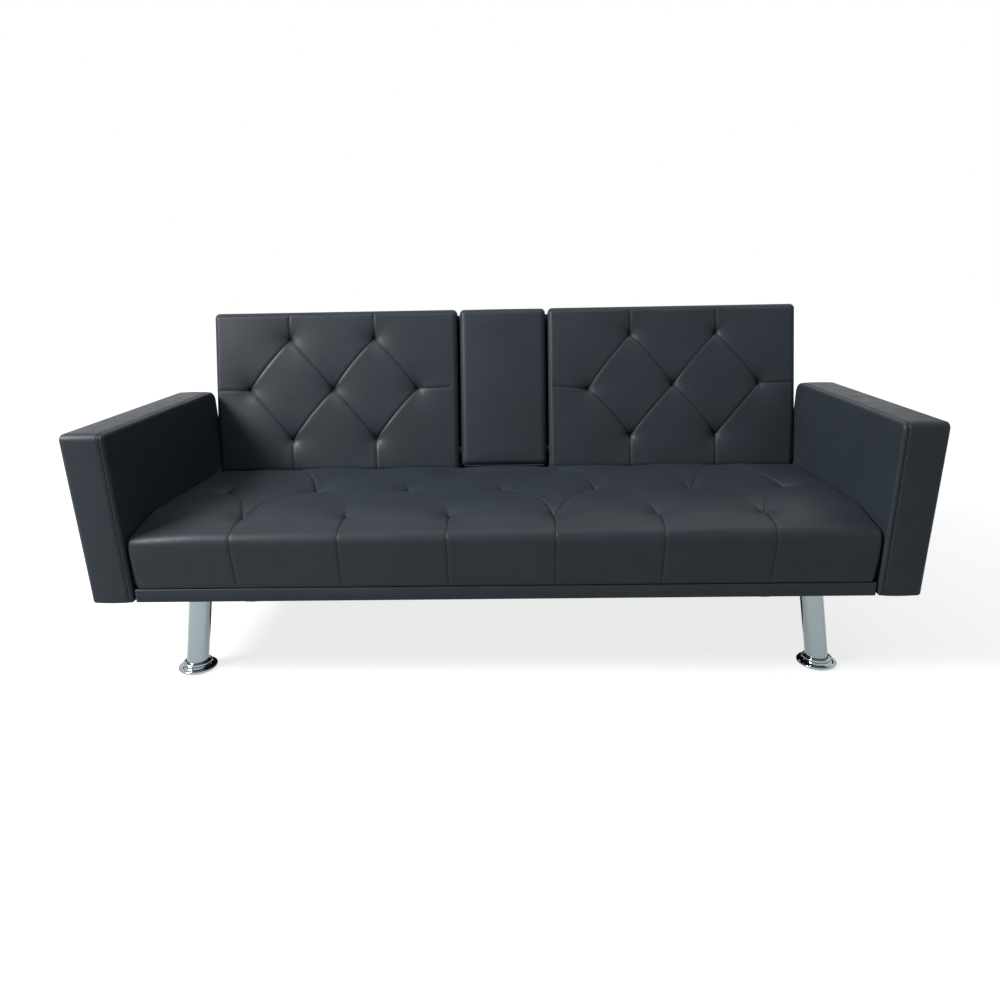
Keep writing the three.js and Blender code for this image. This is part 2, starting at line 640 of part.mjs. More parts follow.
function addSeatCushion() {
  const seatFrontTop = SEAT_TOP_REAR + SEAT_RISE;
  const flapInner = frontRail - CLEARANCE;
  const cushionBottom = deckTop + CLEARANCE;
  const corners = [
    [seatRear, cushionBottom], [seatRear, SEAT_TOP_REAR, SEAT_REAR_RADIUS],
    [SEAT_FRONT, seatFrontTop, SEAT_FRONT_RADIUS], [SEAT_FRONT, seatFrontBottom],
  ];
  const pattern = tuftPattern({
    centre: 0,
    pitch: SEAT_PITCH,
    row: SEAT_TUFT_ROW,
    rise: SEAT_TUFT_RISE,
    reach: SEAT_TUFT_REACH,
    sideEdge: seatHalf,
    frontEdge: -2 * SEAT_TUFT_RISE,
    rearEdge: seatRear + SEAT_REAR_RADIUS,
  });
  const relief = tuftRelief(pattern, SEAT_PUFF, SEAT_TUFT_DEPTH);
  // Distances along the skin are turned into depths from the arms' front by this offset.
  const offset = seatRear + (SEAT_TOP_REAR - cushionBottom) - (2 - Math.PI / 2) * SEAT_REAR_RADIUS;
  const rowStep = SEAT_TUFT_RISE / 4;
  const rows = (lengths) => {
    const [rise, rearArc, top, frontArc, drop] = lengths;
    const crown = [];
    for (let k = -8; k <= 8; k += 1) {
      const distance = offset - (SEAT_TUFT_ROW + k * rowStep);
      if (distance > rearArc + rowStep / 4 && distance < top - rowStep / 4) crown.push(distance);
    }
    crown.sort((a, b) => a - b);
    return [0, rise, ...steps(rise, rearArc, 3), ...crown, top, ...steps(top, frontArc, 4),
      ...steps(frontArc, drop, 2)];
  };
  const form = paddedForm({
    corners,
    inner: [[flapInner, seatFrontBottom], [flapInner, cushionBottom]],
    columns: tuftColumns(0, SEAT_PITCH, 8, seatHalf, SEAT_END_RADIUS),
    half: seatHalf,
    centre: 0,
    endRadius: SEAT_END_RADIUS,
    rows,
    offset,
    relief: (x, depth) => relief(x, depth) * calmed(depth, SEAT_FRONT_RADIUS * 2, SEAT_FRONT_CALM)
      * calmed(seatRear - depth, SEAT_REAR_ROOM, 0),
    taper: seatTaper,
  });
  // Notches at the rear corners let the hinge plates and the housing in.
  const room = HINGE_HEAD + HINGE_NOTCH_ROOM;
  const headNotch = rectangle(pivot.x - room, pivot.x + room, cushionBottom - 1, pivot.y + room, 6);
  const plateNotch = seatPlateArm(HINGE_NOTCH_ROOM);
  const notches = sides.flatMap(([, sign]) => [
    mirrored(alongX(headNotch, backPlateInner - CLEARANCE * 2, seatHalf + OVERCUT), sign),
    mirrored(alongX(plateNotch, seatPlateInner - CLEARANCE * 2, seatHalf + OVERCUT), sign),
  ]);
  piece('seat_cushion', cut(form, ...notches), leather);
}

// ---------- Click-clack hinges ----------
// The seat plate's foot lies on the side rail, ahead of the seat's rear edge.
const plateFootRear = seatRear - HINGE_FOOT_INSET;
const plateFootFront = plateFootRear - HINGE_FOOT;
const plateShoulder = plateFootFront + HINGE_SHOULDER;

// Room in the cushion for the arm that rises from that foot to the pivot.
function seatPlateArm(room) {
  const { x: y, y: z } = pivot;
  return outline([
    [plateShoulder - 2 * room, RAIL_TOP - 2 * room], [y, RAIL_TOP - 2 * room],
    [y, z + HINGE_HEAD + room], [y - HINGE_HEAD - room, z + HINGE_HEAD + room, 6],
  ]);
}

function addHinges() {
  const { x: py, y: pz } = pivot;
  const slotOuter = STOP_RADIUS + STOP_PIN_RADIUS + CLEARANCE + STOP_SLOT_EDGE;
  const flatAngle = -Math.PI / 2;
  const slotRoom = CLEARANCE / STOP_RADIUS;
  const slotHalf = STOP_PIN_RADIUS + CLEARANCE;
  // The slot in the seat plate: an arc from the stop pin's upright place to its reclined place.
  const slot = new THREE.Path();
  const start = -tilt + slotRoom;
  const end = flatAngle - slotRoom;
  const at = (radius, angle) => [py + radius * Math.cos(angle), pz + radius * Math.sin(angle)];
  slot.moveTo(...at(STOP_RADIUS + slotHalf, start));
  slot.absarc(py, pz, STOP_RADIUS + slotHalf, start, end, true);
  slot.absarc(...at(STOP_RADIUS, end), slotHalf, end, end - Math.PI, true);
  slot.absarc(py, pz, STOP_RADIUS - slotHalf, end, start, false);
  slot.absarc(...at(STOP_RADIUS, start), slotHalf, start + Math.PI, start, true);
  const footBottom = TAIL_TOP + HINGE_FOOT_RAISE;
  const plate = outline([
    [py + slotOuter, pz + 9, 8], [py + HINGE_HEAD - 2, pz + HINGE_HEAD, 12],
    [py - HINGE_ARM_FRONT, pz + HINGE_HEAD, 9], [plateShoulder, RAIL_TOP - 2, 12],
    [plateFootFront, RAIL_TOP - 6, 6], [plateFootFront, footBottom, 6],
    [plateFootRear, footBottom, 6], [plateFootRear, RAIL_TOP - 8, 10],
    [py - 12, pz - slotOuter, 8], [py + slotOuter, pz - slotOuter, slotOuter - 1],
  ], 5);
  plate.holes.push(slot, circleHole(py, pz, HINGE_PIN_RADIUS + CLEARANCE));
  [[plateFootFront + HINGE_SCREW_INSET, footBottom + HINGE_SCREW_INSET],
    [plateFootRear - HINGE_SCREW_INSET, footBottom + HINGE_SCREW_INSET],
    [plateShoulder, RAIL_TOP - 1.5 * HINGE_SCREW_INSET],
  ].forEach(([y, z]) => plate.holes.push(circleHole(y, z, HINGE_SCREW_RADIUS)));

  const lowEdge = pivotSlope - HINGE_HEAD + 2;
  const backFoot = [frameFront + 2, frameRear - 2];
  const plateTop = pivotSlope + HINGE_POST_LENGTH;
  const backPlate = outline([
    [PIVOT_DEPTH - HINGE_HEAD + 1, pivotSlope + HINGE_HEAD - 1, 13],
    [PIVOT_DEPTH - HINGE_HEAD + 1, lowEdge, 13], [PIVOT_DEPTH + STOP_RADIUS + 8, lowEdge, 10],
    [backFoot[0] + 4, pivotSlope + HINGE_HEAD - 5, 10], [backFoot[1], pivotSlope + HINGE_NECK, 6],
    [backFoot[1], plateTop, 6], [backFoot[0], plateTop, 6],
    [backFoot[0], pivotSlope + HINGE_HEAD + HINGE_NECK, 6],
    [PIVOT_DEPTH + 10, pivotSlope + HINGE_HEAD - 1, 10],
  ]);
  const stopNeck = STOP_PIN_RADIUS - 1;
  backPlate.holes.push(
    circleHole(PIVOT_DEPTH, pivotSlope, HINGE_PIN_RADIUS + CLEARANCE),
    circleHole(PIVOT_DEPTH + STOP_RADIUS, pivotSlope, stopNeck + CLEARANCE),
  );
  [0, 1, 2].forEach((k) => backPlate.holes.push(circleHole(
    (backFoot[0] + backFoot[1]) / 2, plateTop - HINGE_SCREW_INSET - k * HINGE_POST_LENGTH / 4,
    HINGE_SCREW_RADIUS,
  )));

  const housing = turned([
    [HINGE_PIN_RADIUS + CLEARANCE, 0], [HINGE_HEAD - HEAD_CHAMFER, 0], [HINGE_HEAD, HEAD_CHAMFER],
    [HINGE_HEAD, HINGE_HOUSING_WIDTH - CLEARANCE - HEAD_CHAMFER],
    [HINGE_HEAD - HEAD_CHAMFER, HINGE_HOUSING_WIDTH - CLEARANCE],
    [HINGE_PIN_RADIUS + CLEARANCE, HINGE_HOUSING_WIDTH - CLEARANCE], [HINGE_PIN_RADIUS + CLEARANCE, 0],
  ], 24).rotateY(Math.PI / 2).translate(housingInner, py, pz);

  const pinInner = backPlateInner - CLEARANCE;
  const pinOuter = seatPlateOuter + CLEARANCE;
  const rivet = turned([
    [0, pinInner - HINGE_PIN_HEAD_HEIGHT],
    [HINGE_PIN_HEAD - HINGE_PIN_CHAMFER, pinInner - HINGE_PIN_HEAD_HEIGHT],
    [HINGE_PIN_HEAD, pinInner - HEAD_CHAMFER], [HINGE_PIN_HEAD, pinInner], [HINGE_PIN_RADIUS, pinInner],
    [HINGE_PIN_RADIUS, pinOuter], [HINGE_PIN_HEAD, pinOuter], [HINGE_PIN_HEAD, pinOuter + HEAD_CHAMFER],
    [HINGE_PIN_HEAD - HINGE_PIN_CHAMFER, pinOuter + HINGE_PIN_HEAD_HEIGHT],
    [0, pinOuter + HINGE_PIN_HEAD_HEIGHT],
  ]).rotateY(Math.PI / 2).translate(0, py, pz);

  // The stop pin is riveted into the back plate and runs in the seat plate's slot.
  const stopBase = backPlateInner + HINGE_PLATE + CLEARANCE;
  const stopTip = seatPlateOuter + STOP_PIN_PROUD;
  const stopPin = turned([
    [0, backPlateInner], [stopNeck, backPlateInner], [stopNeck, stopBase], [STOP_PIN_RADIUS, stopBase],
    [STOP_PIN_RADIUS, stopTip - HEAD_CHAMFER], [STOP_PIN_RADIUS - HEAD_CHAMFER, stopTip], [0, stopTip],
  ], 12).rotateY(Math.PI / 2).translate(0, PIVOT_DEPTH + STOP_RADIUS, pivotSlope);

  sides.forEach(([side, sign]) => {
    const seatPlate = alongX(plate, seatPlateInner, seatPlateOuter);
    piece(`hinge_seat_plate_${side}`, mirrored(seatPlate, sign), zincSteel);
    piece(`hinge_housing_${side}`, mirrored(housing, sign), zincSteel);
    piece(`hinge_pin_${side}`, mirrored(rivet, sign), zincSteel);
    const back = alongX(backPlate, backPlateInner, backPlateInner + HINGE_PLATE);
    piece(`hinge_back_plate_${side}`, mirrored(back, sign), zincSteel, backrest);
    piece(`hinge_stop_pin_${side}`, mirrored(stopPin, sign), zincSteel, backrest);
  });
}

// ---------- Legs ----------
function addLegs() {
  const tubeLength = 2 * legTop;
  const tiltedTube = (radius) => new THREE.CylinderGeometry(radius, radius, tubeLength, 24)
    .rotateX(Math.PI / 2).rotateY(-splay);
  const slab = (z0, z1) => alongZ(rectangle(-legTop, legTop, -legTop, legTop), z0, z1);
  // Heights here are below the seat frame's underside.
  const plateBottom = -LEG_PLATE_THICKNESS;
  const floor = -legTop + CLEARANCE;
  const footBottom = floor + GLIDE_HEIGHT;
  const tubeBottom = footBottom + FOOT_RIM;
  const footCentre = -(floor + FOOT_HEIGHT) * Math.tan(splay);
  const rimTop = footBottom + FOOT_RIM;
  const domeTop = footBottom + FOOT_HEIGHT;

  const plateHalf = LEG_PLATE / 2;
  const plateShape = rectangle(-plateHalf, plateHalf, -plateHalf, plateHalf, LEG_PLATE_CORNER);
  const screw = plateHalf - LEG_SCREW_INSET;
  [[-1, -1], [1, -1], [1, 1], [-1, 1]].forEach(([a, b]) => (
    plateShape.holes.push(circleHole(a * screw, b * screw, LEG_SCREW_RADIUS))));
  const plate = alongZ(plateShape, plateBottom, 0);
  const outer = toSolid(tiltedTube(LEG_TUBE_RADIUS)).intersect(toSolid(slab(tubeBottom, plateBottom / 2)));
  const bore = toSolid(tiltedTube(LEG_TUBE_RADIUS - LEG_TUBE_WALL))
    .intersect(toSolid(slab(tubeBottom - 20, plateBottom - 1)));
  const leg = toGeometry(outer.add(toSolid(plate)).subtract(bore));

  const dome = turned([
    [0, footBottom], [FOOT_RADIUS - FOOT_EDGE, footBottom], [FOOT_RADIUS, footBottom + FOOT_EDGE],
    [FOOT_RADIUS, rimTop - FOOT_RIM_EDGE], [FOOT_RADIUS - FOOT_RIM_EDGE, rimTop],
    [FOOT_RADIUS - FOOT_RIM_WIDTH, rimTop],
    [FOOT_RADIUS - FOOT_RIM_WIDTH - FOOT_SWEEP_WIDTH, rimTop + FOOT_SWEEP_RISE],
    [LEG_TUBE_RADIUS + FOOT_NECK, domeTop - FOOT_SHOULDER],
    [LEG_TUBE_RADIUS + FOOT_LIP, domeTop], [0, domeTop],
  ], 24).translate(footCentre, 0, 0);
  const socket = toSolid(tiltedTube(LEG_TUBE_RADIUS + FOOT_SOCKET_WALL))
    .intersect(toSolid(slab(footBottom + 1, domeTop + FOOT_SOCKET_HEIGHT)));
  const socketBore = toSolid(tiltedTube(LEG_TUBE_RADIUS + CLEARANCE))
    .intersect(toSolid(slab(tubeBottom - CLEARANCE, 0)));
  const foot = toGeometry(toSolid(dome).add(socket).subtract(socketBore));
  const glide = turned([
    [0, floor], [GLIDE_RADIUS, floor], [GLIDE_RADIUS, floor + GLIDE_HEIGHT - CLEARANCE],
    [0, floor + GLIDE_HEIGHT - CLEARANCE],
  ], 20).translate(footCentre, 0, 0);

  legRows.forEach(([row, y]) => sides.forEach(([side, sign]) => {
    const group = new THREE.Group();
    group.position.set(sign * (baseHalf - LEG_INSET), y, legTop - CLEARANCE);
    sofa.add(group);
    const name = `${row}_${side}`;
    piece(`leg_tube_${name}`, mirrored(leg, sign), chrome, group);
    piece(`leg_foot_${name}`, mirrored(foot, sign), chrome, group);
    piece(`leg_glide_${name}`, mirrored(glide, sign), blackPlastic, group);
  }));
}

// ---------- Arms ----------
function addArms() {
  const inner = OVERALL_WIDTH / 2 - ARM_THICKNESS;
  // The slab leans outwards: each level shifts towards the middle as it gets lower.
  const lean = (geometry) => {
    const p = geometry.attributes.position;
    for (let i = 0; i < p.count; i += 1) p.setX(i, p.getX(i) + armInner(p.getZ(i)) - inner);
    return geometry;
  };
  const sideView = (inset, bottom) => outline([
    [inset, bottom, inset ? 0 : ARM_FOOT_CORNER], [ARM_DEPTH - inset, bottom, inset ? 0 : ARM_FOOT_CORNER],
    [ARM_DEPTH - inset, ARM_TOP - inset, ARM_REAR_CORNER - inset],
    [inset, ARM_TOP - inset, Math.max(ARM_FRONT_CORNER - inset, 2)],
  ]);
  const bolts = (radius, x0, x1) => boltDepths.map((y) => barX(x0, x1, y, boltHeight, radius));
  const outerSkin = lean(alongX(sideView(0, ARM_BOTTOM), inner, inner + ARM_THICKNESS, ARM_EDGE));
  const hollow = lean(alongX(
    sideView(ARM_PADDING, ARM_BOTTOM - 2 * OVERCUT), inner + ARM_PADDING, inner + ARM_THICKNESS - ARM_PADDING,
  ));
  const boltTip = armInner(boltHeight) + ARM_PADDING + ARM_BOLT_GRIP;
  const bores = bolts(ARM_BOLT_RADIUS + CLEARANCE, baseHalf, boltTip + 2);
  const cover = cut(outerSkin, hollow, ...bores);

  const coreInset = ARM_PADDING + CLEARANCE;
  const coreBottom = ARM_BOTTOM + ARM_CAP + 2 * CLEARANCE;
  const coreShape = sideView(coreInset, coreBottom);
  const windowTop = ARM_TOP - coreInset - ARM_FRAME_POST;
  const windowBottom = coreBottom + ARM_FRAME_RAIL;
  const clearDepth = ARM_DEPTH - 2 * coreInset - (ARM_WINDOWS + 1) * ARM_FRAME_POST;
  const windowWidth = clearDepth / ARM_WINDOWS;
  for (let k = 0; k < ARM_WINDOWS; k += 1) {
    const y0 = coreInset + ARM_FRAME_POST + k * (windowWidth + ARM_FRAME_POST);
    const [y1, radius] = [y0 + windowWidth, ARM_WINDOW_CORNER];
    coreShape.holes.push(trace(new THREE.Path(), [
      [y0, windowBottom, radius], [y0, windowTop, radius],
      [y1, windowTop, radius], [y1, windowBottom, radius],
    ], true, 2));
  }
  const core = cut(lean(alongX(
    coreShape, inner + coreInset, inner + ARM_THICKNESS - coreInset,
  )), ...bores);
  const cap = lean(alongX(
    rectangle(coreInset, ARM_DEPTH - coreInset, ARM_BOTTOM + CLEARANCE, ARM_BOTTOM + CLEARANCE + ARM_CAP),
    inner + coreInset, inner + ARM_THICKNESS - coreInset,
  ));
  const headInner = railInner - CLEARANCE - ARM_BOLT_HEAD_HEIGHT;
  const bolt = turned([
    [0, headInner], [ARM_BOLT_HEAD - HEAD_CHAMFER, headInner], [ARM_BOLT_HEAD, headInner + HEAD_CHAMFER],
    [ARM_BOLT_HEAD, railInner - CLEARANCE], [ARM_BOLT_RADIUS, railInner - CLEARANCE],
    [ARM_BOLT_RADIUS, boltTip - HEAD_CHAMFER], [ARM_BOLT_RADIUS - HEAD_CHAMFER, boltTip], [0, boltTip],
  ], 12).rotateY(Math.PI / 2).translate(0, 0, boltHeight);

  sides.forEach(([side, sign]) => {
    piece(`arm_cover_${side}`, mirrored(cover, sign), leather);
    piece(`arm_frame_${side}`, mirrored(core, sign), timber);
    piece(`arm_cap_${side}`, mirrored(cap, sign), blackPlastic);
    boltDepths.forEach((y, k) => {
      const placed = bolt.clone().translate(0, y, 0);
      piece(`arm_bolt_${['front', 'rear'][k]}_${side}`, mirrored(placed, sign), zincSteel);
    });
  });
}

// ---------- Backrest ----------
// In this group x runs across, y behind the face and z up the slope from the crease.
function addBackFrame() {
  const top = BACK_HEIGHT - BACK_COVER - CLEARANCE;
  const bottom = backBottom + BACK_COVER + CLEARANCE;
  const railHalf = postOuter - BACK_POST_WIDTH - CLEARANCE;
  piece('back_bottom_rail', timberBoard(
    -railHalf, railHalf, frameFront, frameRear, bottom, backRailTop,
  ), timber, backrest);
  piece('back_top_rail', timberBoard(
    -railHalf, railHalf, frameFront, frameRear, top - BACK_RAIL_WIDTH, top,
  ), timber, backrest);
  sides.forEach(([side, sign]) => {
    piece(`back_end_post_${side}`, mirrored(timberBoard(
      postOuter - BACK_POST_WIDTH, postOuter, frameFront, frameRear, bottom, top,
    ), sign), timber, backrest);
    piece(`back_console_post_${side}`, mirrored(timberBoard(
      cushionInner, cushionInner + BACK_POST_WIDTH, frameFront, frameRear,
      backRailTop + CLEARANCE, top - BACK_RAIL_WIDTH - CLEARANCE,
    ), sign), timber, backrest);
  });
  const shell = alongY(rectangle(
    -backHalf, backHalf, backBottom, BACK_HEIGHT, BACK_COVER_CORNER,
  ), frameFront, BACK_THICKNESS);
  const hollow = alongY(rectangle(
    -backHalf + BACK_COVER, backHalf - BACK_COVER, backBottom + BACK_COVER, BACK_HEIGHT - BACK_COVER,
    BACK_COVER_CORNER - BACK_COVER,
  ), frameFront - OVERCUT, BACK_THICKNESS - BACK_COVER);
  piece('back_rear_cover', cut(shell, hollow), leather, backrest);
  const panelHalf = cushionInner - BRACKET - 2 * CLEARANCE;
  piece('back_recess_panel', alongY(
    rectangle(-panelHalf, panelHalf, backBottom, BACK_HEIGHT, SHEET_CORNER),
    cushionRear - RECESS_PANEL, cushionRear,
  ), leather, backrest);
}

function addBackCushions() {
  const half = (backHalf - cushionInner) / 2;
  const centre = (backHalf + cushionInner) / 2;
  const tuftCentre = centre + BACK_TUFT_SHIFT;
  const pattern = tuftPattern({
    centre: tuftCentre,
    pitch: BACK_PITCH,
    row: BACK_TUFT_ROW,
    rise: BACK_TUFT_RISE,
    reach: BACK_TUFT_REACH,
    sideEdge: half * 2,
    frontEdge: backBottom,
    rearEdge: BACK_HEIGHT * 2,
  });
  const relief = tuftRelief(pattern, BACK_PUFF, BACK_TUFT_DEPTH);
  const corners = [
    [cushionRear, BACK_HEIGHT], [0, BACK_HEIGHT, BACK_TOP_RADIUS],
    [0, backBottom, BACK_BOTTOM_RADIUS], [cushionRear, backBottom],
  ];
  const offset = BACK_HEIGHT + cushionRear - (2 - Math.PI / 2) * BACK_TOP_RADIUS;
  const rowStep = BACK_TUFT_RISE / 5;
  const rows = (lengths) => {
    const [top, topArc, face, bottomArc, bottom] = lengths;
    const crown = [];
    for (let k = -20; k <= 20; k += 1) {
      const distance = offset - (BACK_TUFT_ROW + k * rowStep);
      if (distance > topArc + rowStep / 3 && distance < face - rowStep / 3) crown.push(distance);
    }
    crown.sort((a, b) => a - b);
    return [0, ...steps(0, top, 2), ...steps(top, topArc, 3), ...crown, face,
      ...steps(face, bottomArc, 3), bottom];
  };
  const form = paddedForm({
    corners,
    inner: [],
    columns: tuftColumns(tuftCentre, BACK_PITCH, 10, half, BACK_END_RADIUS, centre),
    half,
    centre,
    endRadius: BACK_END_RADIUS,
    rows,
    offset,
    relief: (x, rise) => relief(x, rise) * calmed(BACK_HEIGHT - rise, BACK_EDGE_ROOM, BACK_EDGE_CALM)
      * calmed(rise, BACK_EDGE_ROOM, BACK_EDGE_CALM),
    taper: () => 1,
  });
  // The lower outer corner is hollow behind the face, round the hinge.
  const notchTop = pivotSlope + STOP_RADIUS + STOP_PIN_RADIUS + STOP_SLOT_EDGE + 2 * HINGE_NOTCH_ROOM;
  const notch = alongX(rectangle(
    PIVOT_DEPTH - HINGE_HEAD - HINGE_NOTCH_ROOM, cushionRear + OVERCUT, backBottom - 2 * OVERCUT, notchTop, 5,
  ), backPlateInner - HINGE_PIN_HEAD_HEIGHT - 2 * HINGE_NOTCH_ROOM, backHalf + OVERCUT);
  const cushion = cut(form, notch);
  sides.forEach(([side, sign]) => {
    piece(`back_cushion_${side}`, mirrored(cushion, sign), leather, backrest);
  });
}

// ---------- Console ----------
function addConsole() {
  const form = paddedForm({
    corners: [
      [CONSOLE_THICKNESS, BACK_HEIGHT], [0, BACK_HEIGHT, BACK_TOP_RADIUS],
      [0, CONSOLE_BOTTOM, BACK_TOP_RADIUS],
      [CONSOLE_THICKNESS, CONSOLE_BOTTOM, CONSOLE_HEEL_RADIUS],
      [CONSOLE_THICKNESS, CONSOLE_BOTTOM + CONSOLE_HEEL_RADIUS + 10],
    ],
    inner: [],
    columns: steps(-consoleHalf + BACK_END_RADIUS, consoleHalf - BACK_END_RADIUS, 6).slice(0, -1),
    half: consoleHalf,
    centre: 0,
    endRadius: BACK_END_RADIUS,
    rows: ([top, topArc, face, lowArc, under, heel, rear]) => [
      0, ...steps(0, top, 1), ...steps(top, topArc, 3), ...steps(topArc, face, 8),
      ...steps(face, lowArc, 3), under, ...steps(under, heel, 5), rear,
    ],
    offset: 0,
    relief: (x) => CONSOLE_PUFF * (1 - (x / consoleHalf) ** 2),
    taper: () => 1,
  });
  const heel = CONSOLE_HEEL_RADIUS - CONSOLE_WALL;
  const coreShape = (room) => outline([
    [CONSOLE_PAD + room, CONSOLE_BOTTOM + CONSOLE_WALL + room],
    [CONSOLE_THICKNESS - TRAY_PLATE - CLEARANCE, CONSOLE_BOTTOM + CONSOLE_WALL + room, heel],
    [CONSOLE_THICKNESS - TRAY_PLATE - CLEARANCE, BACK_HEIGHT - CONSOLE_WALL - room],
    [CONSOLE_PAD + room, BACK_HEIGHT - CONSOLE_WALL - room],
  ]);
  const coreHalf = consoleHalf - CONSOLE_WALL - CLEARANCE;
  const cavity = alongX(coreShape(0), -consoleHalf + CONSOLE_WALL, consoleHalf - CONSOLE_WALL);
  const trayOpening = alongY(rectangle(
    -consoleHalf + CONSOLE_WALL, consoleHalf - CONSOLE_WALL, TRAY_HEEL, BACK_HEIGHT - CONSOLE_WALL,
  ), CONSOLE_THICKNESS - TRAY_PLATE - 2, CONSOLE_THICKNESS + OVERCUT);
  const pinBore = barX(
    -consoleHalf - OVERCUT, consoleHalf + OVERCUT, CONSOLE_PIVOT_DEPTH, consolePivot,
    CONSOLE_PIN_RADIUS + CLEARANCE,
  );
  piece('console_cushion', cut(form, cavity, trayOpening, pinBore), leather, backrest);

  const cupUp = BACK_HEIGHT - CUP_FROM_TOP;
  const cupCentres = [-CUP_SPACING / 2, CUP_SPACING / 2];
  const cupBottomRadius = CUP_RADIUS - CUP_DRAFT;
  const rimDepth = CONSOLE_THICKNESS - TRAY_PLATE;
  const cupBores = cupCentres.map((x) => new THREE.CylinderGeometry(
    CUP_RADIUS + CUP_WALL + CUP_ROOM, CUP_RADIUS + CUP_WALL + CUP_ROOM, CONSOLE_THICKNESS * 2, 28,
  ).translate(x, 0, cupUp));
  piece('console_core', cut(
    alongX(coreShape(CLEARANCE), -coreHalf, coreHalf), pinBore, ...cupBores,
  ), timber, backrest);

  const trayTop = BACK_HEIGHT - CONSOLE_WALL - CLEARANCE;
  const trayShape = rectangle(-coreHalf, coreHalf, TRAY_HEEL + CLEARANCE, trayTop, TRAY_CORNER);
  cupCentres.forEach((x) => trayShape.holes.push(circleHole(x, cupUp, CUP_RADIUS)));
  const plate = alongY(trayShape, rimDepth, CONSOLE_THICKNESS, 0, 14);
  const floorDepth = CONSOLE_THICKNESS - CUP_DEPTH;
  const cup = turned([
    [0, -floorDepth + CUP_WALL], [cupBottomRadius, -floorDepth + CUP_WALL],
    [cupBottomRadius + CUP_WALL, -floorDepth], [CUP_RADIUS + CUP_WALL, -rimDepth - CUP_JOINT],
    [CUP_RADIUS - CUP_LIP, -rimDepth - CUP_JOINT], [cupBottomRadius, -floorDepth], [0, -floorDepth],
  ], 28).rotateX(Math.PI / 2);
  piece('console_tray', join(plate, ...cupCentres.map((x) => cup.clone().translate(x, 0, cupUp))),
    blackPlastic, backrest);

  const bracketInner = cushionInner - CLEARANCE - BRACKET;
  const bracketFoot = [frameFront + 1, frameRear - 1];
  const bracket = outline([
    [CONSOLE_PIVOT_DEPTH - BRACKET_HEAD, consolePivot + BRACKET_HEAD, BRACKET_HEAD - 1],
    [CONSOLE_PIVOT_DEPTH - BRACKET_HEAD, consolePivot - BRACKET_HEAD, BRACKET_HEAD - 1],
    [CONSOLE_PIVOT_DEPTH + BRACKET_HEAD, consolePivot - BRACKET_HEAD, 8],
    [bracketFoot[0] - 2, backRailTop + 2 * CLEARANCE], [bracketFoot[1], backRailTop + 2 * CLEARANCE, 4],
    [bracketFoot[1], consolePivot + BRACKET_FOOT, 4],
    [bracketFoot[0], consolePivot + BRACKET_FOOT, 4], [bracketFoot[0], consolePivot + BRACKET_HEAD, 8],
  ], 4);
  bracket.holes.push(circleHole(CONSOLE_PIVOT_DEPTH, consolePivot, CONSOLE_PIN_RADIUS + CLEARANCE));
  BRACKET_SCREWS.forEach((rise) => bracket.holes.push(
    circleHole((bracketFoot[0] + bracketFoot[1]) / 2, consolePivot + rise, HINGE_SCREW_RADIUS),
  ));
  // The pin grips the console's core; a collar on it keeps the console off the bracket.
  const pinInner = coreHalf - CONSOLE_PIN_GRIP;
  const collar = consoleHalf + CLEARANCE;
  const pin = turned([
    [0, pinInner], [CONSOLE_PIN_RADIUS, pinInner], [CONSOLE_PIN_RADIUS, collar],
    [CONSOLE_PIN_RADIUS + CONSOLE_PIN_COLLAR, collar],
    [CONSOLE_PIN_RADIUS + CONSOLE_PIN_COLLAR, bracketInner - CLEARANCE],
    [CONSOLE_PIN_RADIUS, bracketInner - CLEARANCE], [CONSOLE_PIN_RADIUS, cushionInner - 2 * CLEARANCE],
    [0, cushionInner - 2 * CLEARANCE],
  ], 12).rotateY(Math.PI / 2).translate(0, CONSOLE_PIVOT_DEPTH, consolePivot);
  sides.forEach(([side, sign]) => {
    piece(`console_bracket_${side}`, mirrored(
      alongX(bracket, bracketInner, bracketInner + BRACKET), sign,
    ), zincSteel, backrest);
    piece(`console_pin_${side}`, mirrored(pin, sign), zincSteel, backrest);
  });
}

addSeatFrame();
addSeatCushion();
addHinges();
addLegs();
addArms();
addBackFrame();
addBackCushions();
addConsole();

export default sofa;
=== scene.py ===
"""Click-clack futon sofa bed in black artificial leather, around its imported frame.

Metres, +Z up, front to -Y. Padded pieces are worked out in millimetres and scaled as they are made.
"""
import math
import random

import bmesh
import bpy
import numpy as np
from mathutils import Matrix, Vector


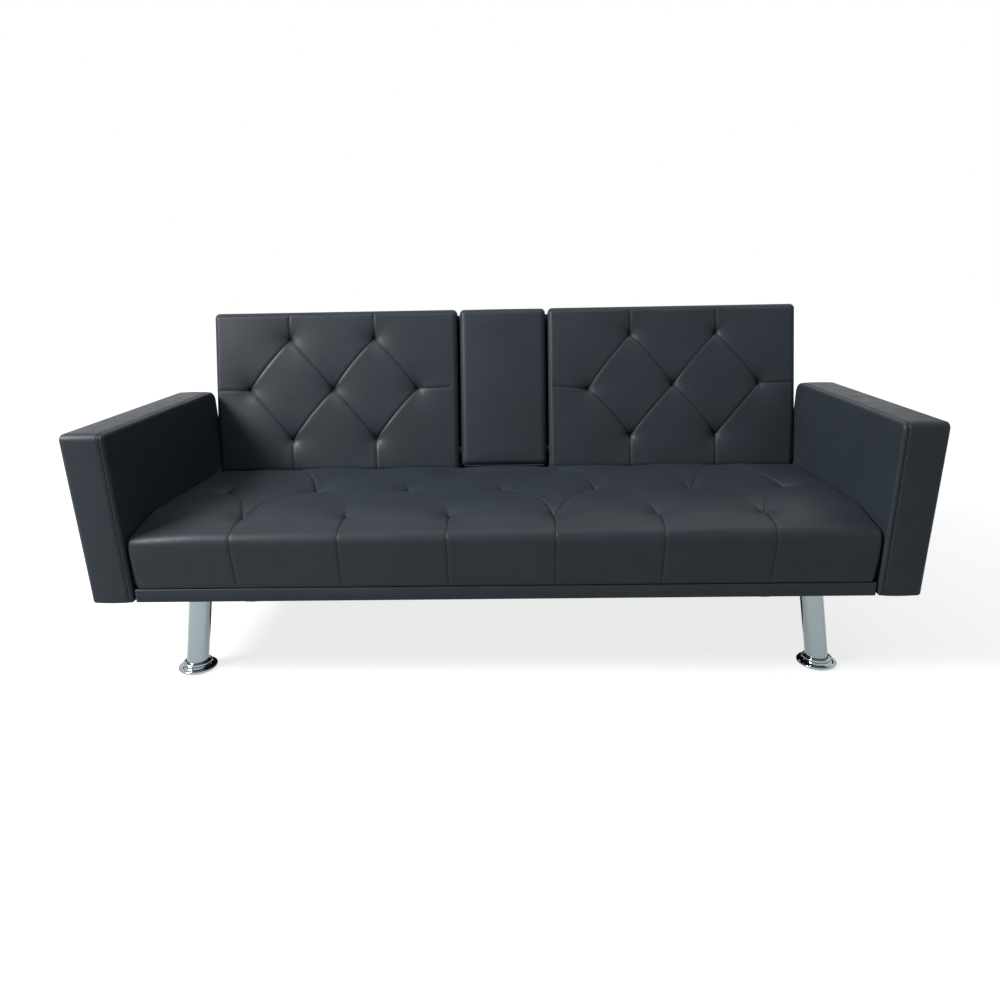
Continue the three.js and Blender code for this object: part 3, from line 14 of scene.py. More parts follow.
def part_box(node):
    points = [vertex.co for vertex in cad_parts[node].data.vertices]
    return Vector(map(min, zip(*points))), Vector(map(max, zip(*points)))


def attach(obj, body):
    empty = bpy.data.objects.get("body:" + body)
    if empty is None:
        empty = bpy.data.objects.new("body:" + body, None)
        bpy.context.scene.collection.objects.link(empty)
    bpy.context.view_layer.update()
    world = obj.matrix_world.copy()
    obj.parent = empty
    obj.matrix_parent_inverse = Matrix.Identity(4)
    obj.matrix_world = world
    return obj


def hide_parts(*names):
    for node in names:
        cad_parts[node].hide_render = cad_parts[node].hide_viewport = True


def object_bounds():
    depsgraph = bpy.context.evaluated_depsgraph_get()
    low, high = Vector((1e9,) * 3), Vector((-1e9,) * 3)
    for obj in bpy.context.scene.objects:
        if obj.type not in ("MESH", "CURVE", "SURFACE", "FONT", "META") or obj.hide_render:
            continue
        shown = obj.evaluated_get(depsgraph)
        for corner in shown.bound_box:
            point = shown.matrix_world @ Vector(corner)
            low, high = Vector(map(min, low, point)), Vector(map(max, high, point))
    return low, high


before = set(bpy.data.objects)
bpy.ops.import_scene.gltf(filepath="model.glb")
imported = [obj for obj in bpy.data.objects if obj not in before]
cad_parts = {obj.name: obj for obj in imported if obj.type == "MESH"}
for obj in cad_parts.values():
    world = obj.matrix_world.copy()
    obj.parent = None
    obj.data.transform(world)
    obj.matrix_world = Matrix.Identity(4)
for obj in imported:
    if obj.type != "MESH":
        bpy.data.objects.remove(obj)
frame_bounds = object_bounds()

# ---------- Camera ----------
# A wide lens at sitting height, a little to the right of the sofa's middle, tipped down towards the
# seat and very slightly rolled.
LENS = 27.84
PITCH, YAW, ROLL = (math.radians(a) for a in (16.3, 1.4, 1.1))
CAMERA_PLACE = (0.0354, -1.8087, 0.8418)


def placed(name, data):
    """A new object in the scene that holds this data."""
    made = bpy.data.objects.new(name, data)
    bpy.context.scene.collection.objects.link(made)
    return made


camera_data = bpy.data.cameras.new("camera")
camera_data.lens = LENS
camera_data.sensor_width = 36
camera = placed("camera", camera_data)
ahead = Vector((-math.sin(YAW) * math.cos(PITCH), math.cos(YAW) * math.cos(PITCH), -math.sin(PITCH)))
right = Vector((math.cos(YAW), math.sin(YAW), 0))
up = right.cross(ahead)
turned_right = right * math.cos(ROLL) - up * math.sin(ROLL)
turned_up = right * math.sin(ROLL) + up * math.cos(ROLL)
camera.matrix_world = Matrix.Translation(CAMERA_PLACE) @ Matrix(
    (turned_right, turned_up, -ahead)).transposed().to_4x4()
bpy.context.scene.camera = camera
bpy.context.scene.view_settings.view_transform = "Standard"

# ---------- Studio ----------
# A white sweep under a wide overhead softbox. A window-like softbox high on the left throws the left
# arm's shadow across the back. Black cards at both sides and behind the front legs are seen only in
# reflections. They are painted reflections: dark surroundings in the chrome and the leather, and near the
# legs, the shaded floor under the sofa. Near the sofa the sweep glows less, as a painted shade round it.
SWEEP_SIZE = 30
SWEEP_DROP = 0.0004  # the floor lies this much below the glides, so that the faces don't fight
# Painted shade: the floor's glow is dimmer near the sofa, and the chrome reflects that too.
SWEEP_NEAR, SWEEP_FAR, SWEEP_NEAR_LEVEL = 1.1, 3.2, 0.80  # the floor turns white over this distance
SWEEP_BOUNCE, SWEEP_SHADE = 0.42, 0.26  # how pale it is to the sofa, and under its glow to the camera
AMBIENT = (0.120, 0.155, 0.210)
SOFTBOXES = [  # name, place, target, width, height, power, colour
    ("key_softbox", (-3.0, -1.5, 2.75), (0, 0.1, 0.5), 1.3, 1.2, 335, (1.0, 0.99, 0.98)),
    ("top_softbox", (0.2, -0.2, 2.9), (0, 0.1, 0.3), 3.2, 1.4, 36, (1.0, 0.97, 0.93)),
]
# Painted reflections: hidden from camera, diffuse light and shadows, the cards only darken reflections.
REFLECTION_CARDS = [  # black cards: name, place, width, height, turn about the upright in degrees
    ("right_reflection_card", (3.3, 2.6, 0.9), 1.5, 2.4, -38),
    ("left_reflection_card", (-4.6, 1.6, 0.9), 1.2, 2.4, 60),
    ("left_leg_reflection_card", (-0.635, -0.10, 0.1), 0.20, 0.2, 0),
    ("right_leg_reflection_card", (0.61, -0.10, 0.1), 0.22, 0.2, 0),
]


def new_material(name):
    """A material whose tree holds only the shader and its output; returns it with a node maker."""
    material = bpy.data.materials.new(name)
    material.use_nodes = True
    tree = material.node_tree
    tree.nodes.clear()

    def node(kind, **settings):
        made = tree.nodes.new("ShaderNode" + kind)
        for key, value in settings.items():
            if hasattr(made, key):
                setattr(made, key, value)
            else:
                feed(made.inputs[key.replace("_", " ")], value)
        return made

    def feed(socket, value):
        if isinstance(value, bpy.types.NodeSocket):
            tree.links.new(value, socket)
        elif isinstance(value, bpy.types.Node):
            tree.links.new(value.outputs[0], socket)
        else:
            socket.default_value = value

    def finish(shader):
        tree.links.new(shader.outputs[0], node("OutputMaterial").inputs["Surface"])
        return material

    return node, feed, finish


def seen_directly(node):
    """One where a camera, mirror or glass ray looks, and nought for the light that fills the room."""
    rays = node("LightPath")
    mirrored = node("Math", operation="MAXIMUM")
    mirrored.inputs[0].default_value = 0
    tree = mirrored.id_data
    tree.links.new(rays.outputs["Is Camera Ray"], mirrored.inputs[0])
    tree.links.new(rays.outputs["Is Glossy Ray"], mirrored.inputs[1])
    either = node("Math", operation="MAXIMUM")
    tree.links.new(mirrored.outputs[0], either.inputs[0])
    tree.links.new(rays.outputs["Is Transmission Ray"], either.inputs[1])
    return either.outputs[0]


world = bpy.data.worlds.new("studio")
bpy.context.scene.world = world
world.use_nodes = True
world.node_tree.nodes.clear()


def world_node(kind, **settings):
    made = world.node_tree.nodes.new("ShaderNode" + kind)
    for key, value in settings.items():
        setattr(made, key, value)
    return made


def colour_sockets(mix):
    """The two colours that a Mix node takes and the one it gives."""
    return [next(s for s in sockets if s.identifier == name) for sockets, name in (
        (mix.inputs, "A_Color"), (mix.inputs, "B_Color"), (mix.outputs, "Result_Color"))]


tint = world_node("Mix", data_type="RGBA")
unseen, seen, either = colour_sockets(tint)
unseen.default_value = (*AMBIENT, 1)
seen.default_value = (1, 1, 1, 1)
world.node_tree.links.new(seen_directly(world_node), tint.inputs["Factor"])
sky = world_node("Background")
world.node_tree.links.new(either, sky.inputs["Color"])
world.node_tree.links.new(sky.outputs[0], world_node("OutputWorld").inputs["Surface"])

for name, place, target, width, height, power, colour in SOFTBOXES:
    light = bpy.data.lights.new(name, "AREA")
    light.shape = "RECTANGLE"
    light.size, light.size_y, light.energy, light.color = width, height, power, colour
    softbox = placed(name, light)
    softbox.location = place
    softbox.rotation_euler = (Vector(target) - Vector(place)).to_track_quat("-Z", "Y").to_euler()


def sweep_material():
    node, feed, finish = new_material("white_sweep")
    lit = node("BsdfDiffuse", Color=(*[SWEEP_BOUNCE] * 3, 1))
    away = node("VectorMath", operation="LENGTH")
    feed(away.inputs[0], node("TexCoord").outputs["Object"])
    # Painted shade: the glow is dimmer near the sofa and brightens to white away from it.
    level = node("MapRange", Value=away.outputs["Value"], From_Min=SWEEP_NEAR, From_Max=SWEEP_FAR,
                 To_Min=SWEEP_NEAR_LEVEL, To_Max=1.0)
    glow = node("Emission", Color=(1, 1, 1, 1), Strength=level)
    both = node("AddShader")
    feed(both.inputs[0], node("BsdfDiffuse", Color=(*[SWEEP_SHADE] * 3, 1)))
    feed(both.inputs[1], glow)
    mixed = node("MixShader")
    feed(mixed.inputs[0], seen_directly(node))
    feed(mixed.inputs[1], lit)
    feed(mixed.inputs[2], both)
    return finish(mixed)


def reflection_card_material():
    node, feed, finish = new_material("black_card")
    return finish(node("BsdfDiffuse", Color=(0.015, 0.015, 0.016, 1)))


def rectangle(half_width, half_height):
    return ((-half_width, -half_height), (half_width, -half_height),
            (half_width, half_height), (-half_width, half_height))


def card(name, corners, material):
    """One flat face."""
    mesh = bpy.data.meshes.new(name)
    mesh.from_pydata(corners, [], [(0, 1, 2, 3)])
    mesh.materials.append(material)
    return placed(name, mesh)


# Each card shows only in reflections, as a painted dark reflection.
for name, place, width, height, turn in REFLECTION_CARDS:
    reflection_card = card(name, [(x, 0, z) for x, z in rectangle(width / 2, height / 2)], reflection_card_material())
    reflection_card.location = place
    reflection_card.rotation_euler = (0, 0, math.radians(turn))
    reflection_card.visible_camera, reflection_card.visible_diffuse, reflection_card.visible_shadow = False, False, False

sweep = card("sweep", [(x, y, -SWEEP_DROP) for x, y in rectangle(SWEEP_SIZE / 2, SWEEP_SIZE / 2)],
             sweep_material())


# ---------- Seat frame ----------
# A low ladder of sawn pine rails screwed together, with a plywood deck on top that carries the seat
# and a thin black non-woven cloth stapled underneath.
def shaded(colour, share):
    return [c * share for c in colour]


def two_tone(node, level, dark, pale, ends=(0, 1)):
    """A ramp from a dark colour to a pale one, between two levels."""
    ramp = node("ValToRGB", Fac=level)
    for element, end, colour in zip(ramp.color_ramp.elements, ends, (dark, pale)):
        element.position, element.color = end, (*colour, 1)
    return ramp


def wood_material(name, pale, dark, rings, along):
    """Sawn softwood: long growth lines drawn out along one axis, with faint pores."""
    node, feed, finish = new_material(name)
    stretched = node("Mapping", vector_type="POINT")
    feed(stretched.inputs["Vector"], node("TexCoord").outputs["Object"])
    stretched.inputs["Scale"].default_value = [0.06 if axis == along else 1 for axis in "xyz"]
    grain = node("TexNoise", Vector=stretched, Scale=rings, Detail=6, Distortion=0.6)
    pores = node("TexNoise", Vector=stretched, Scale=rings * 9, Detail=3)
    ramp = two_tone(node, grain, dark, pale, (0.36, 0.62))
    bump = node("Bump", Height=pores, Strength=0.25, Distance=0.0006)
    return finish(node("BsdfPrincipled", Base_Color=ramp, Roughness=0.72, Normal=bump))


def cloth_material(name, colour):
    """Thin non-woven backing cloth: matt, with a fine spun web."""
    node, feed, finish = new_material(name)
    coords = node("TexCoord").outputs["Object"]
    web = node("TexNoise", Vector=coords, Scale=900, Detail=5, Roughness=0.75)
    ramp = two_tone(node, web, shaded(colour, 0.6), shaded(colour, 1.5))
    bump = node("Bump", Height=web, Strength=0.35, Distance=0.0004)
    return finish(node("BsdfPrincipled", Base_Color=ramp, Roughness=0.95, Normal=bump))


def dress(material, *names):
    """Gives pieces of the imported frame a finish."""
    for name in names:
        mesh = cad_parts[name].data
        mesh.materials.clear()
        mesh.materials.append(material)


PINE, PINE_DARK = (0.58, 0.41, 0.23), (0.42, 0.26, 0.13)
BIRCH, BIRCH_DARK = (0.66, 0.51, 0.33), (0.52, 0.37, 0.21)
LINING = (0.012, 0.012, 0.014)
LEFT_RIGHT = ("left", "right")

dress(wood_material("pine_crosswise", PINE, PINE_DARK, 34, "x"), "front_rail")
dress(wood_material("pine_lengthwise", PINE, PINE_DARK, 34, "y"), "centre_beam",
      "arm_frame_left", "arm_frame_right")
# The backrest's members are stained black, so that no wood shows in the gaps.
STAINED, STAINED_DARK = (0.014, 0.013, 0.012), (0.006, 0.006, 0.006)
dress(wood_material("stained_pine", STAINED, STAINED_DARK, 34, "z"), "console_core", "back_bottom_rail",
      "back_top_rail", *(f"back_{post}_post_{side}" for post in ("console", "end") for side in LEFT_RIGHT))
dress(wood_material("plywood", BIRCH, BIRCH_DARK, 16, "x"), "seat_deck")
# The lining cloth is turned up over the outer rails and round the leg boards, and stapled to them.
dress(cloth_material("lining_cloth", LINING), "dust_cover", "rear_rail", "side_rail_left", "side_rail_right",
      "leg_board_front", "leg_board_rear")


# ---------- Legs ----------
# Each leg is a chromed steel tube welded to a mounting plate, splayed sideways, pressed into the
# socket of a domed, chromed foot. A plastic glide is let into the foot's underside.
def chrome_material(name, colour, roughness):
    """Bright plating over polished tube: nearly a mirror, with faint buffing waves and dust."""
    node, feed, finish = new_material(name)
    coords = node("TexCoord").outputs["Object"]
    waves = node("TexNoise", Vector=coords, Scale=14, Detail=2)
    dust = node("TexNoise", Vector=coords, Scale=420, Detail=4)
    haze = node("MapRange", Value=dust, From_Min=0.45, From_Max=0.8, To_Min=roughness, To_Max=roughness * 2.2)
    bump = node("Bump", Height=waves, Strength=0.05, Distance=0.002)
    return finish(node("BsdfPrincipled", Base_Color=(*colour, 1), Metallic=1.0, Roughness=haze, Normal=bump))


def plastic_material(name, colour, roughness, texture):
    """Moulded plastic with a spark-eroded texture."""
    node, feed, finish = new_material(name)
    coords = node("TexCoord").outputs["Object"]
    pits = node("TexNoise", Vector=coords, Scale=texture, Detail=3, Roughness=0.6)
    shade = two_tone(node, pits, shaded(colour, 0.8), shaded(colour, 1.25))
    bump = node("Bump", Height=pits, Strength=0.3, Distance=0.0003)
    return finish(node("BsdfPrincipled", Base_Color=shade, Roughness=roughness, Normal=bump))


def zinc_material(name, dark, pale):
    """Zinc plate: small spangles, with a dull haze over them."""
    node, feed, finish = new_material(name)
    coords = node("TexCoord").outputs["Object"]
    spangle = node("TexVoronoi", Vector=coords, Scale=260)
    haze = node("TexNoise", Vector=coords, Scale=90, Detail=4)
    shade = two_tone(node, spangle.outputs["Color"], dark, pale)
    gloss = node("MapRange", Value=haze, From_Min=0.3, From_Max=0.7, To_Min=0.38, To_Max=0.55)
    bump = node("Bump", Height=haze, Strength=0.12, Distance=0.0004)
    return finish(node("BsdfPrincipled", Base_Color=shade, Metallic=1.0, Roughness=gloss, Normal=bump))


def new_piece(name, places, faces, material, body, slot, *replaced):
    """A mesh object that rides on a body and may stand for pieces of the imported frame."""
    mesh = bpy.data.meshes.new(name)
    mesh.from_pydata([tuple(p) for p in places], [], [tuple(f) for f in faces])
    mesh.materials.append(material)
    mesh.shade_smooth()
    mesh.set_sharp_from_angle(angle=math.radians(40))
    piece = placed(name, mesh)
    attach(piece, body)
    if replaced:
        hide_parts(*replaced)
    return piece


def lathe(profile, segments, centre, tip=Matrix.Identity(3)):
    """Places and faces of a profile (radius, height) turned about an upright axis. Ends on the axis close."""
    places, faces, rings = [], [], []
    for radius, height in profile:
        if radius < 1e-6:
            rings.append([len(places)] * segments)
            places.append(Vector((0, 0, height)))
            continue
        rings.append(list(range(len(places), len(places) + segments)))
        for k in range(segments):
            angle = 2 * math.pi * k / segments
            places.append(Vector((radius * math.cos(angle), radius * math.sin(angle), height)))
    for low, high in zip(rings, rings[1:]):
        for k in range(segments):
            n = (k + 1) % segments
            face = [low[k], low[n], high[n], high[k]]
            faces.append(list(dict.fromkeys(face)))
    return [Vector(centre) + tip @ p for p in places], faces


def arc_points(centre, radius, start, end, count):
    """Points on an arc in the (radius, height) plane, in degrees."""
    angles = np.radians(np.linspace(start, end, count))
    return [(centre[0] + radius * math.cos(a), centre[1] + radius * math.sin(a)) for a in angles]


# Painted shade: both chromes are darker than bare chromium, the tubes' most, for the dark floor they reflect.
CHROME = (0.35, 0.40, 0.425)
SHADED_TUBE_CHROME = (0.27, 0.32, 0.335)
SEGMENTS = 96
TUBE_RADIUS = 0.02375
SPLAY = math.radians(9.4)
PLATE_HALF, PLATE_THICKNESS, PLATE_CORNER, PLATE_EDGE = 0.042, 0.003, 0.010, 0.0006
SCREW_INSET, SCREW_RADIUS, SCREW_HEIGHT = 0.011, 0.0052, 0.0024
RIM_HEIGHT = 0.0055
FOOT_EDGE, RIM_EDGE = 0.002, 0.0022  # roundings under and on the foot's rim
FLARE_RADIUS, FLARE_INSET, FLARE_SINK = 0.0085, 0.0042, 0.001  # the concave sweep up from the rim
LIP_RADIUS, LIP_OUT, LIP_LIFT = 0.0032, 0.0042, 0.001  # the rolled lip round the tube
LIP_INSIDE = ((0.0022, 0.0042), (0.0004, 0.0034), (0.0002, -0.002))  # out from the tube, up from the dome
LIP_DROP = 0.008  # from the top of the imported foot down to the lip
TUBE_START = 0.004  # above the foot's underside
SIDES = tuple(zip(LEFT_RIGHT, (-1, 1)))


def joined(shapes):
    """Several shapes' places and faces as one."""
    places, faces = [], []
    for some_places, some_faces in shapes:
        faces += [[len(places) + i for i in face] for face in some_faces]
        places += list(some_places)
    return places, faces


def mounting_plate(top):
    """A square plate with round corners and eased edges; top is the middle of its upper face."""
    rings = []
    for height, inset in ((-PLATE_THICKNESS, PLATE_EDGE), (PLATE_EDGE - PLATE_THICKNESS, 0),
                          (-PLATE_EDGE, 0), (0, PLATE_EDGE)):
        ring = []
        for quarter in range(4):
            angle = quarter * math.pi / 2 + math.pi / 4
            reach = (PLATE_HALF - PLATE_CORNER) * math.sqrt(2)
            corner = Vector((reach * math.cos(angle), reach * math.sin(angle), height))
            for turn in np.linspace(-math.pi / 4, math.pi / 4, 9):
                out = Vector((math.cos(angle + turn), math.sin(angle + turn), 0))
                ring.append(top + corner + out * (PLATE_CORNER - inset))
        rings.append(ring)
    n = len(rings[0])
    faces = [list(range(n))[::-1], list(range(3 * n, 4 * n))]
    faces += [[k * n + i, k * n + (i + 1) % n, (k + 1) * n + (i + 1) % n, (k + 1) * n + i]
              for k in range(3) for i in range(n)]
    return sum(rings, []), faces


chrome = chrome_material("chrome", CHROME, 0.045)
tube_chrome = chrome_material("tube_chrome", SHADED_TUBE_CHROME, 0.12)
screw_zinc = zinc_material("zinc_plate", (0.30, 0.30, 0.29), (0.42, 0.41, 0.38))
glide_plastic = plastic_material("glide_plastic", (0.02, 0.02, 0.022), 0.5, 900)

for row in ("front", "rear"):
    for side, sign in SIDES:
        low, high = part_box(f"leg_foot_{row}_{side}")
        tube_low, tube_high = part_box(f"leg_tube_{row}_{side}")
        foot_radius = (high.x - low.x) / 2
        middle = Vector(((low.x + high.x) / 2, (low.y + high.y) / 2, low.z))
        dome = high.z - low.z - LIP_DROP
        # The foot: a flat rim with rounded edges, a concave sweep, and a rolled lip round the tube.
        profile = [(0, 0), (foot_radius - FOOT_EDGE, 0)]
        profile += arc_points((foot_radius - FOOT_EDGE, FOOT_EDGE), FOOT_EDGE, -90, 0, 5)[1:]
        profile += arc_points((foot_radius - RIM_EDGE, RIM_HEIGHT - RIM_EDGE), RIM_EDGE, 0, 90, 6)
        flare_centre = (foot_radius - FLARE_INSET, RIM_HEIGHT + FLARE_RADIUS - FLARE_SINK)
        profile += arc_points(flare_centre, FLARE_RADIUS, 262, 205, 8)
        profile += arc_points((TUBE_RADIUS + LIP_OUT, dome + LIP_LIFT), LIP_RADIUS, -20, 90, 7)
        profile += [(TUBE_RADIUS + out, dome + up) for out, up in LIP_INSIDE]
        profile.append((0, profile[-1][1]))
        places, faces = lathe(profile, SEGMENTS, middle)
        new_piece(f"leg_foot_{row}_{side}_chromed", places, faces, chrome, "root", "chrome",
                  f"leg_foot_{row}_{side}")
        # The tube runs from inside the foot up to its mounting plate.
        plate_x = (tube_high.x - PLATE_HALF) if sign < 0 else (tube_low.x + PLATE_HALF)
        top = Vector((plate_x, middle.y, tube_high.z))
        lean = Matrix.Rotation(-sign * SPLAY, 3, "Y")
        length = (top.z - low.z - TUBE_START) / math.cos(SPLAY)
        tube = [(0, -length), (TUBE_RADIUS, -length), (TUBE_RADIUS, 0), (0, 0)]
        places, faces = lathe(tube, SEGMENTS, top, lean)
        for p in places[SEGMENTS + 1:]:
            p += (lean @ Vector((0, 0, 1))) * ((top.z - PLATE_THICKNESS / 2 - p.z) / math.cos(SPLAY))
        plate_places, plate_faces = mounting_plate(top)
        new_piece(f"leg_tube_{row}_{side}_chromed", *joined([(places, faces), (plate_places, plate_faces)]),
                  tube_chrome, "root", "chrome", f"leg_tube_{row}_{side}")
        # Four pan-head screws hold the plate up to its board.
        screws = []
        for a, b in ((-1, -1), (1, -1), (1, 1), (-1, 1)):
            head = top + Vector((a, b, 0)) * (PLATE_HALF - SCREW_INSET) - Vector((0, 0, PLATE_THICKNESS))
            crown = [(SCREW_RADIUS * math.cos(t), -SCREW_HEIGHT * (0.35 + 0.65 * math.sin(t)))
                     for t in np.linspace(0, math.pi / 2, 5)]
            screws.append(lathe([(0, 0.0002), (SCREW_RADIUS, 0.0002), *crown], 20, head))
        new_piece(f"leg_screws_{row}_{side}", *joined(screws), screw_zinc, "root", "zinc_steel")
dress(glide_plastic, *(f"leg_glide_{row}_{side}" for row in ("front", "rear") for side in LEFT_RIGHT))

# ---------- Arms ----------
# Each arm is a leaning slab: a pine frame wrapped in foam and artificial leather. The flat side
# panels are sewn to a strip that runs over the front, top and rear, with a topstitch on the strip.
MM = 0.001
ON_LINE = 0.05  # a point this close to a fold or a tuft is on it
UNSEWN = 40.0  # stands for far from any seam
SAME_PLACE = 2e-5  # points of a mesh nearer than this, in metres, are joined


class Outline:
    """A closed path of straight runs and round corners in a plane, measured along its length.

    Corners are (a, b, radius), or (a, b) where sharp, anticlockwise, so that normals point outwards.
    """

    def __init__(self, corners):
        self.parts = []
        n = len(corners)
        places = [np.array(c[:2], float) for c in corners]
        radii = [c[2] if len(c) > 2 else 0 for c in corners]
        starts, ends = [], []
        for k in range(n):
            if radii[k] <= 0:
                starts.append(places[k])
                ends.append(places[k])
                continue
            before = places[k - 1] - places[k]
            after = places[(k + 1) % n] - places[k]
            before, after = before / np.linalg.norm(before), after / np.linalg.norm(after)
            half = math.acos(np.clip(before @ after, -1, 1)) / 2
            starts.append(places[k] + before * radii[k] / math.tan(half))
            ends.append(places[k] + after * radii[k] / math.tan(half))
        for k in range(n):
            m = (k + 1) % n
            if k == 0 and not np.allclose(starts[0], ends[0]):
                self.add_arc(starts[0], ends[0], radii[0])
            self.add_line(ends[k], starts[m])
            if m and not np.allclose(starts[m], ends[m]):
                self.add_arc(starts[m], ends[m], radii[m])
        self.reached = np.cumsum([part[0] for part in self.parts])
        self.length = self.reached[-1]

    def add_line(self, start, end):
        length = np.linalg.norm(end - start)
        if length > 0.3:
            self.parts.append((length, "line", start, (end - start) / length, 0))

    def add_arc(self, start, end, radius):
        """A quarter-like arc that turns left."""
        chord = end - start
        middle = (start + end) / 2
        away = math.sqrt(max(radius ** 2 - (np.linalg.norm(chord) / 2) ** 2, 0))
        left = np.array([-chord[1], chord[0]]) / np.linalg.norm(chord)
        centre = middle + left * away
        first = math.atan2(*(start - centre)[::-1])
        turn = 2 * math.asin(np.clip(np.linalg.norm(chord) / 2 / radius, -1, 1))
        self.parts.append((radius * turn, "arc", centre, first, radius))

    def at(self, distances):
        """Places and outward normals at distances along the path."""
        distances = np.asarray(distances, float)
        places = np.zeros((len(distances), 2))
        normals = np.zeros((len(distances), 2))
        begun = 0
        for k, (length, kind, base, way, radius) in enumerate(self.parts):
            last = k == len(self.parts) - 1
            here = (distances >= begun - 1e-9) & ((distances < begun + length - 1e-9) | last)
            along = distances[here] - begun
            if kind == "line":
                places[here] = base + along[:, None] * way
                normals[here] = (way[1], -way[0])
            else:
                angle = way + along / radius
                normals[here] = np.stack([np.cos(angle), np.sin(angle)], 1)
                places[here] = base + radius * normals[here]
            begun += length
        return places, normals

    def stations(self, spacings):
        """Distances spaced evenly within each part, with about the given spacing in each."""
        found, begun = [], 0
        for (length, *_), spacing in zip(self.parts, spacings):
            count = max(1, round(length / spacing))
            found.extend(begun + length * np.arange(count) / count)
            begun += length
        return np.array(found)


def end_rings(radius, steps, crown, reach, cap_steps):
    """How far in (inset) and out (x past the straight part) the rings of a rolled end lie."""
    turn = np.linspace(0, math.pi / 2, steps + 1)[1:]
    inset = list(radius * (1 - np.cos(turn)))
    out = list(radius * np.sin(turn))
    for k in range(1, cap_steps + 1):
        t = k / cap_steps
        inset.append(radius + (reach - radius) * t)
        out.append(radius + crown * math.sin(t * math.pi / 2))
    return np.array(inset), np.array(out)


def face_outwards(mesh, merged=0):
    """Turns the faces of a closed mesh outwards, after joining places nearer than merged."""
    work = bmesh.new()
    work.from_mesh(mesh)
    if merged:
        bmesh.ops.remove_doubles(work, verts=work.verts, dist=merged)
    bmesh.ops.recalc_face_normals(work, faces=work.faces)
    work.to_mesh(mesh)
    work.free()


def padded_mesh(name, outline, stations, columns, ends, relief, shift, place, seam, box=None, folds=None):
    """A closed padded form.

    Rings of stations round a closed outline are carried across the columns (x, in order) and rolled in
    at both ends. relief(x, s) is how far the skin stands out and shift(x, s) how far a point slides
    across and along the skin. seam(x, s) is the distance to the nearest sewn line, along which the
    leather's colour is darkened as painted shade, and more where that line is faint. folds(x, s) is the
    distance to the nearest fold, which the faces' edges follow. All in millimetres.
    """
    inset, out = ends
    low, high = columns[0], columns[-1]
    xs = np.concatenate([(low - out)[::-1], columns, high + out])
    insets = np.concatenate([inset[::-1], np.zeros(len(columns)), inset])
    roll = np.concatenate([[0], np.cumsum(np.hypot(np.diff(np.r_[0, inset]), np.diff(np.r_[0, out])))])[1:]
    skin_x = np.concatenate([(low - roll)[::-1], columns, high + roll])
    base, normal = outline.at(stations)
    grid_x, grid_s = np.meshgrid(skin_x, stations, indexing="ij")
    rise = relief(grid_x, grid_s)
    slide_x, slide_s = shift(grid_x, grid_s)
    tangent = np.stack([-normal[:, 1], normal[:, 0]], 1)
    a = base[None, :, 0] + normal[None, :, 0] * (rise - insets[:, None]) + tangent[None, :, 0] * slide_s
    b = base[None, :, 1] + normal[None, :, 1] * (rise - insets[:, None]) + tangent[None, :, 1] * slide_s
    if box:
        (a0, b0), (a1, b1) = box
        deep = insets[:, None]
        a = np.where(deep > 0, np.clip(a, a0 + deep, a1 - deep), a)
        b = np.where(deep > 0, np.clip(b, b0 + deep, b1 - deep), b)
    x = np.broadcast_to(xs[:, None], a.shape) + slide_x
    near = seam(grid_x, grid_s)
    places = place(x.ravel(), a.ravel(), b.ravel()) * MM
    rows, n = a.shape
    index = np.arange(rows * n).reshape(rows, n)
    p, q = index[:-1], index[1:]
    quads = np.stack([p, np.roll(p, -1, 1), np.roll(q, -1, 1), q], -1).reshape(-1, 4)
    flat = near.ravel()
    on = (near if folds is None else folds(grid_x, grid_s)).ravel() < ON_LINE
    first = on[quads[:, 0]] & on[quads[:, 2]] & ~(on[quads[:, 1]] & on[quads[:, 3]])
    second = on[quads[:, 1]] & on[quads[:, 3]] & ~(on[quads[:, 0]] & on[quads[:, 2]])
    plain = ~(first | second)
    faces = quads[plain].tolist()
    faces += quads[first][:, [0, 1, 2]].tolist() + quads[first][:, [0, 2, 3]].tolist()
    faces += quads[second][:, [0, 1, 3]].tolist() + quads[second][:, [1, 2, 3]].tolist()
    faces += [index[0].tolist(), index[-1][::-1].tolist()]
    mesh = bpy.data.meshes.new(name)
    mesh.from_pydata(places.tolist(), [], faces)
    mesh.attributes.new("seam", "FLOAT", "POINT").data.foreach_set("value", flat.astype(np.float32))
    face_outwards(mesh, SAME_PLACE)
    mesh.shade_smooth()
    return mesh


def hollowed(mesh, *cutters):
    """Takes closed shapes out of a closed mesh."""
    whole = placed("whole", mesh)
    tools = []
    for places, faces in cutters:
        tool_mesh = bpy.data.meshes.new("cutter")
        tool_mesh.from_pydata([tuple(p) for p in places], [], faces)
        face_outwards(tool_mesh)
        tool = placed("cutter", tool_mesh)
        cut = whole.modifiers.new("cut", "BOOLEAN")
        cut.operation, cut.solver, cut.object = "DIFFERENCE", "EXACT", tool
        tools.append(tool)
    bpy.context.view_layer.update()
    result = bpy.data.meshes.new_from_object(whole.evaluated_get(bpy.context.evaluated_depsgraph_get()))
    result.name = mesh.name
    for thing in [whole, *tools]:
        bpy.data.objects.remove(thing)
    result.shade_smooth()
    return result


def slab(corners, ends, place):
    """A closed shape with straight sides: corners (a, b) carried from one end to the other."""
    n = len(corners)
    a, b = np.array([c[0] for c in corners], float), np.array([c[1] for c in corners], float)
    places = np.concatenate([place(np.full(n, x, float), a, b) * MM for x in ends])
    faces = [list(range(n))[::-1], list(range(n, 2 * n))]
    faces += [[k, (k + 1) % n, n + (k + 1) % n, n + k] for k in range(n)]
    return places, faces


